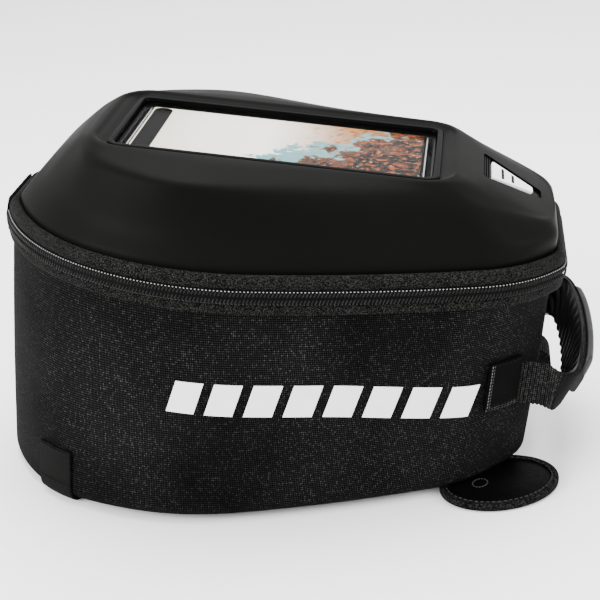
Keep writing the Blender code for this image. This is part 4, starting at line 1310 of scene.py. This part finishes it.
def front_tabs():
    """Cloth tabs over the front corners, turned under the floor and sewn along two lines."""
    profile = np.array(body_rings(0.0004, 60))
    for name, side in SIDES:
        index = np.linspace(index_at(-0.1200, side), index_at(-0.0985, side), 17)
        low = np.floor(index).astype(int)
        part = (index - low)[:, None]
        rows = profile[:, low % RING_COUNT] * (1 - part) + profile[:, (low + 1) % RING_COUNT] * part
        height = rows[:, :, 2] - floor_height(rows[:, :, 0])
        rows = rows[height.mean(axis=1) < TAB_HEIGHT]
        under = rows[0].copy()
        under[:, :2] -= 0.010 * (OUT[low % RING_COUNT])
        under[:, 2] = floor_height(under[:, 0], FLOOR_LIFT - SETTLE + 0.0004)
        obj = grid_mesh("corner_tab_" + name, np.concatenate([[under], rows]), LAPPED, wrap=False, sharp=60)
        thicken(obj, 0.0016, 1.0)
        bevel(obj, 0.0004)
        for vertex in obj.data.vertices:
            vertex.co.z = max(vertex.co.z, 0.0002)      # pressed flat where the bag stands on it
        fit(obj, "body", "webbing", "front_tab_" + name)
        normal = np.array((*OUT[low % RING_COUNT].mean(axis=0), 0.0))
        for label, row in (("edge", rows[-1]), ("hem", rows[len(rows) // 2])):
            seam = row[1:-1] + normal * 0.0018 - (0, 0, 0.0012)
            sewing = stitch_row(f"corner_tab_{label}_{name}", seam, np.tile(normal, (len(seam), 1)),
                                BLACK_THREAD, pitch=0.0020, length=0.0015)
            fit(sewing, "body", "webbing")


# ---------------------------------------------------------------- base and wings
def wing_place(side):
    turn = Matrix.Translation((SHIFT_X, 0, 0)) @ Matrix.Rotation(side * WING_TURN, 4, "Z")
    return turn @ Matrix.Translation((0, -side * WING_SIDE, 0))


def wing_plan(grow, side):
    """Edge of a wing in its own frame, anticlockwise: an ellipse leant over."""
    t = np.linspace(0, math.tau, 96, endpoint=False)
    along, across = (WING_LONG + grow) * np.cos(t), (WING_SHORT + grow) * np.sin(t)
    x = WING_MIDDLE[0] + along * math.cos(WING_LEAN) - across * math.sin(WING_LEAN)
    y = WING_MIDDLE[1] + along * math.sin(WING_LEAN) + across * math.cos(WING_LEAN)
    points = np.column_stack([x, -side * y])
    return points if side < 0 else points[::-1]


def wings():
    """A padded wing at each rear corner: coated faces over a magnet, edge tape, and its sewing."""
    for name, side in SIDES:
        place = wing_place(side)
        middle = np.array((WING_MIDDLE[0], -side * WING_MIDDLE[1]))
        plan = wing_plan(-0.0012, side)
        rings = [at_height(middle + (plan - middle) * k, z)
                 for k, z in ((0.03, 0.0008), (0.90, 0.0008), (1.0, 0.0011), (1.0, 0.0030), (0.96, 0.0034),
                              (0.90, 0.0033), (0.84, 0.0036), (0.70, 0.0040), (0.45, 0.0042), (0.20, 0.0042),
                              (0.03, 0.0042))]
        pad = grid_mesh("wing_pad_" + name, rings, COATED, place=place, sharp=60)
        close_ends(pad, len(plan))
        ends = [to_world((WING_HINGE + x, 0, 0.00225), place) for x in (-0.004, 0.004)]
        fold = ("body", "wing_" + name, *ends)
        fit(pad, fold, "wing_face", *(f"wing_{part}_{name}" for part in ("skin", "sole", "root", "magnet")))

        edge = wing_plan(-0.0016, side)
        normal = normals_of(edge)
        tape = [at_height(edge + normal * w, z) for w, z in binding_section()]
        binding = grid_mesh("wing_edge_" + name, tape, BINDING, close=True, place=place, sharp=60)
        fit(binding, fold, "rim_tape", "wing_binding_" + name)

        up = np.tile((0, 0, 1.0), (len(edge), 1))
        for k, inset in enumerate((0.0008, 0.0022)):
            sewn = at_height(edge - normal * inset, 0.0043)
            row = stitch_row(f"wing_edge_stitch_{name}_{k + 1}", sewn, up, GREY_THREAD if k else BLACK_THREAD,
                             pitch=0.0030, length=0.0020, width=0.00045, closed=True, place=place)
            fit(row, fold, "rim_tape")

        around = np.linspace(0, math.tau, 40, endpoint=False)
        ring = np.column_stack([0.1216 + 0.0036 * np.cos(around), side * 0.0059 + 0.0045 * np.sin(around),
                                np.full(40, 0.0043)])
        row = stitch_row("wing_ring_stitch_" + name, ring, up[:40], GREY_THREAD, pitch=0.0017, length=0.0012,
                         closed=True, place=place)
        fit(row, "body", "rim_tape")


def binding_section():
    """Section of the edge tape: outwards and height, round a flat U turned on its side."""
    return rounded(((-0.0024, 0.0035), (-0.0024, 0.0042), (0.0012, 0.0041), (0.0016, 0.0023),
                             (0.0012, 0.0004), (-0.0024, 0.0004), (-0.0024, 0.0009)), 0.0010, 3)


def base():
    pad = rounded_rect(0.095, 0.052, 0.018) + (SHIFT_X - 0.030, 0)
    flat = Matrix.Identity(4)
    obj = slab("base_pad_rubber", pad, 0.0, FLOOR_LIFT - SETTLE - 0.0002, BASE_RUBBER, flat, 0.0008)
    fit(obj, "body", "base_rubber", "base_pad")


# ---------------------------------------------------------------- cloth hinge and sliders
def front_hinge():
    """Cloth hinge across the front: one piece from the body's tape to the lid's; its fold about the lid's
    hinge is not made.
    """
    front_x = OUTLINE[:, 0].min()
    level = ZIP_RISE * front_x
    half = HINGE_WIDTH / 2
    y = np.linspace(-half, half, 14)
    bow = np.interp(np.abs(y), (0, RIM_FLAT, half), (0, 0, 0.0006))
    rows = [at_height(np.column_stack([front_x - out + bow, y]), level + rise)
            for rise, out in ((-0.0090, 0.0004), (-0.0060, 0.0008), (-0.0030, 0.0011), (-0.0015, 0.0014),
                              (0.0, 0.0016), (0.0015, 0.0014), (0.0030, 0.0011), (0.0060, 0.0007),
                              (0.0088, 0.0002))]
    obj = grid_mesh("hinge_cloth", rows, TAPE, wrap=False)
    thicken(obj, HINGE_WALL, 0.0)
    hinge = next(j for j in frame["joints"] if j["name"] == "lid_hinge")["pos_m"]
    bend = [(hinge[0], 0, hinge[2] + z) for z in (-0.003, 0.003)]
    fit(obj, ("body", "lid", *bend), "rim_tape", "hinge_tape_lower", "hinge_tape_upper")


def slider_frame(heading):
    """Place on the far front arc: X along the zip, Y outwards, Z square to the zip's plane."""
    radius = RIM_ARCS[NOSE_ARC][0]
    angle = math.radians(heading + 90)
    spot = NOSE_CENTRE + radius * np.array((math.cos(angle), math.sin(angle)))
    out = Vector((math.cos(angle), math.sin(angle), ZIP_RISE * math.cos(angle))).normalized()
    up = Vector((-ZIP_RISE, 0, 1)).normalized()
    turn = Matrix((out.cross(up).normalized(), out, up)).transposed().to_4x4()
    return BAG @ Matrix.Translation((*spot, ZIP_RISE * spot[0])) @ turn


def sliders():
    """Two zip sliders, each two plates with a neck and a bridge, and their forked pulls."""
    for name, heading in (("a", 62.0), ("b", 55.0)):
        place = slider_frame(heading)
        parts = [((0.0044, 0.0012, 0.0052), (0, 0.0026, -0.0016)),
                 ((0.0034, 0.0010, 0.0038), (0, -0.0024, -0.0012)),
                 ((0.0012, 0.0042, 0.0007), (0, 0, 0)),
                 ((0.0014, 0.0022, 0.0026), (0, 0.0040, 0))]
        bm = bmesh.new()
        for size, centre in parts:
            block = Matrix.Translation(centre) @ Matrix.Diagonal((*size, 1))
            bmesh.ops.create_cube(bm, size=1, matrix=place @ block)
        mesh = bpy.data.meshes.new("slider_" + name)
        bm.to_mesh(mesh)
        bm.free()
        mesh.materials.append(METAL)
        obj = bpy.data.objects.new("slider_" + name, mesh)
        bpy.context.scene.collection.objects.link(obj)
        bevel(obj, 0.0004, 3, 30)
        fit(obj, "slider_" + name, "slider_metal", "zip_slider_" + name)

        half = [(0.0010, -0.0184), (0.0026, -0.0170), (0.0034, -0.0140), (0.0034, 0.0014), (0.0022, 0.0014),
                (0.0022, -0.0024)]
        fork = [(-x, z) for x, z in half[3::-1]] + half + [(-x, z) for x, z in half[:3:-1]]
        upright = place @ Matrix.Rotation(math.pi / 2, 4, "X")
        obj = slab("pull_" + name, fork, -0.0047, -0.0035, METAL, upright)
        bevel(obj, 0.0003, 2, 30)
        fit(obj, "pull_" + name, "slider_metal", "zip_pull_" + name)


def cad_materials():
    """Finish of the one CAD node that stays: the stiff board in the floor."""
    for slot in frame["nodes"]["base_board"].material_slots:
        slot.material = BOARD


# ---------------------------------------------------------------- studio
def studio():
    bpy.ops.mesh.primitive_plane_add(size=6, location=(0, 0, 0))
    floor = bpy.context.object
    floor.name = "studio_floor"
    floor_mat = Surface("studio_floor", 0.94, 0.9).done()
    floor.data.materials.append(floor_mat)

    world = bpy.data.worlds.new("studio")
    bpy.context.scene.world = world
    world.use_nodes = True
    world.node_tree.nodes["Background"].inputs["Color"].default_value = (1, 1, 1, 1)
    world.node_tree.nodes["Background"].inputs["Strength"].default_value = 1.9

    for name, place, size, power in (("top_softbox", (0.0, 0.25, 1.3), 1.0, 34.0),
                                     ("left_softbox", (-1.1, -0.7, 0.7), 0.7, 26.0),
                                     ("right_softbox", (1.2, -0.3, 0.6), 0.6, 12.0)):
        light = bpy.data.lights.new(name, "AREA")
        light.size = size
        light.energy = power
        obj = bpy.data.objects.new(name, light)
        obj.location = place
        aim = Vector((0, 0, 0.1)) - Vector(place)
        obj.rotation_euler = aim.to_track_quat("-Z", "Y").to_euler()
        bpy.context.scene.collection.objects.link(obj)


def camera():
    data = bpy.data.cameras.new("camera")
    data.lens = 84
    data.sensor_width = 36
    obj = bpy.data.objects.new("camera", data)
    right = Vector((0.99024, 0.11894, -0.07272)).normalized()
    forward = Vector((-0.13845, 0.90008, -0.41315)).normalized()
    up = right.cross(forward)
    turn = Matrix((right, up, -forward)).transposed().to_4x4()
    obj.matrix_world = Matrix.Translation((0.1131, -0.7097, 0.4091)) @ turn
    bpy.context.scene.collection.objects.link(obj)
    bpy.context.scene.camera = obj


camera()
studio()
body_shell()
body_lining()
side_bars()
zip_tapes()
zip_teeth()
zip_core()
lid_shell()
badge()
lid_lining()
window()
display_card()
phone_pocket()
handle()
wall_patches()
rear_loop()
front_tabs()
wings()
base()
front_hinge()
sliders()
cad_materials()
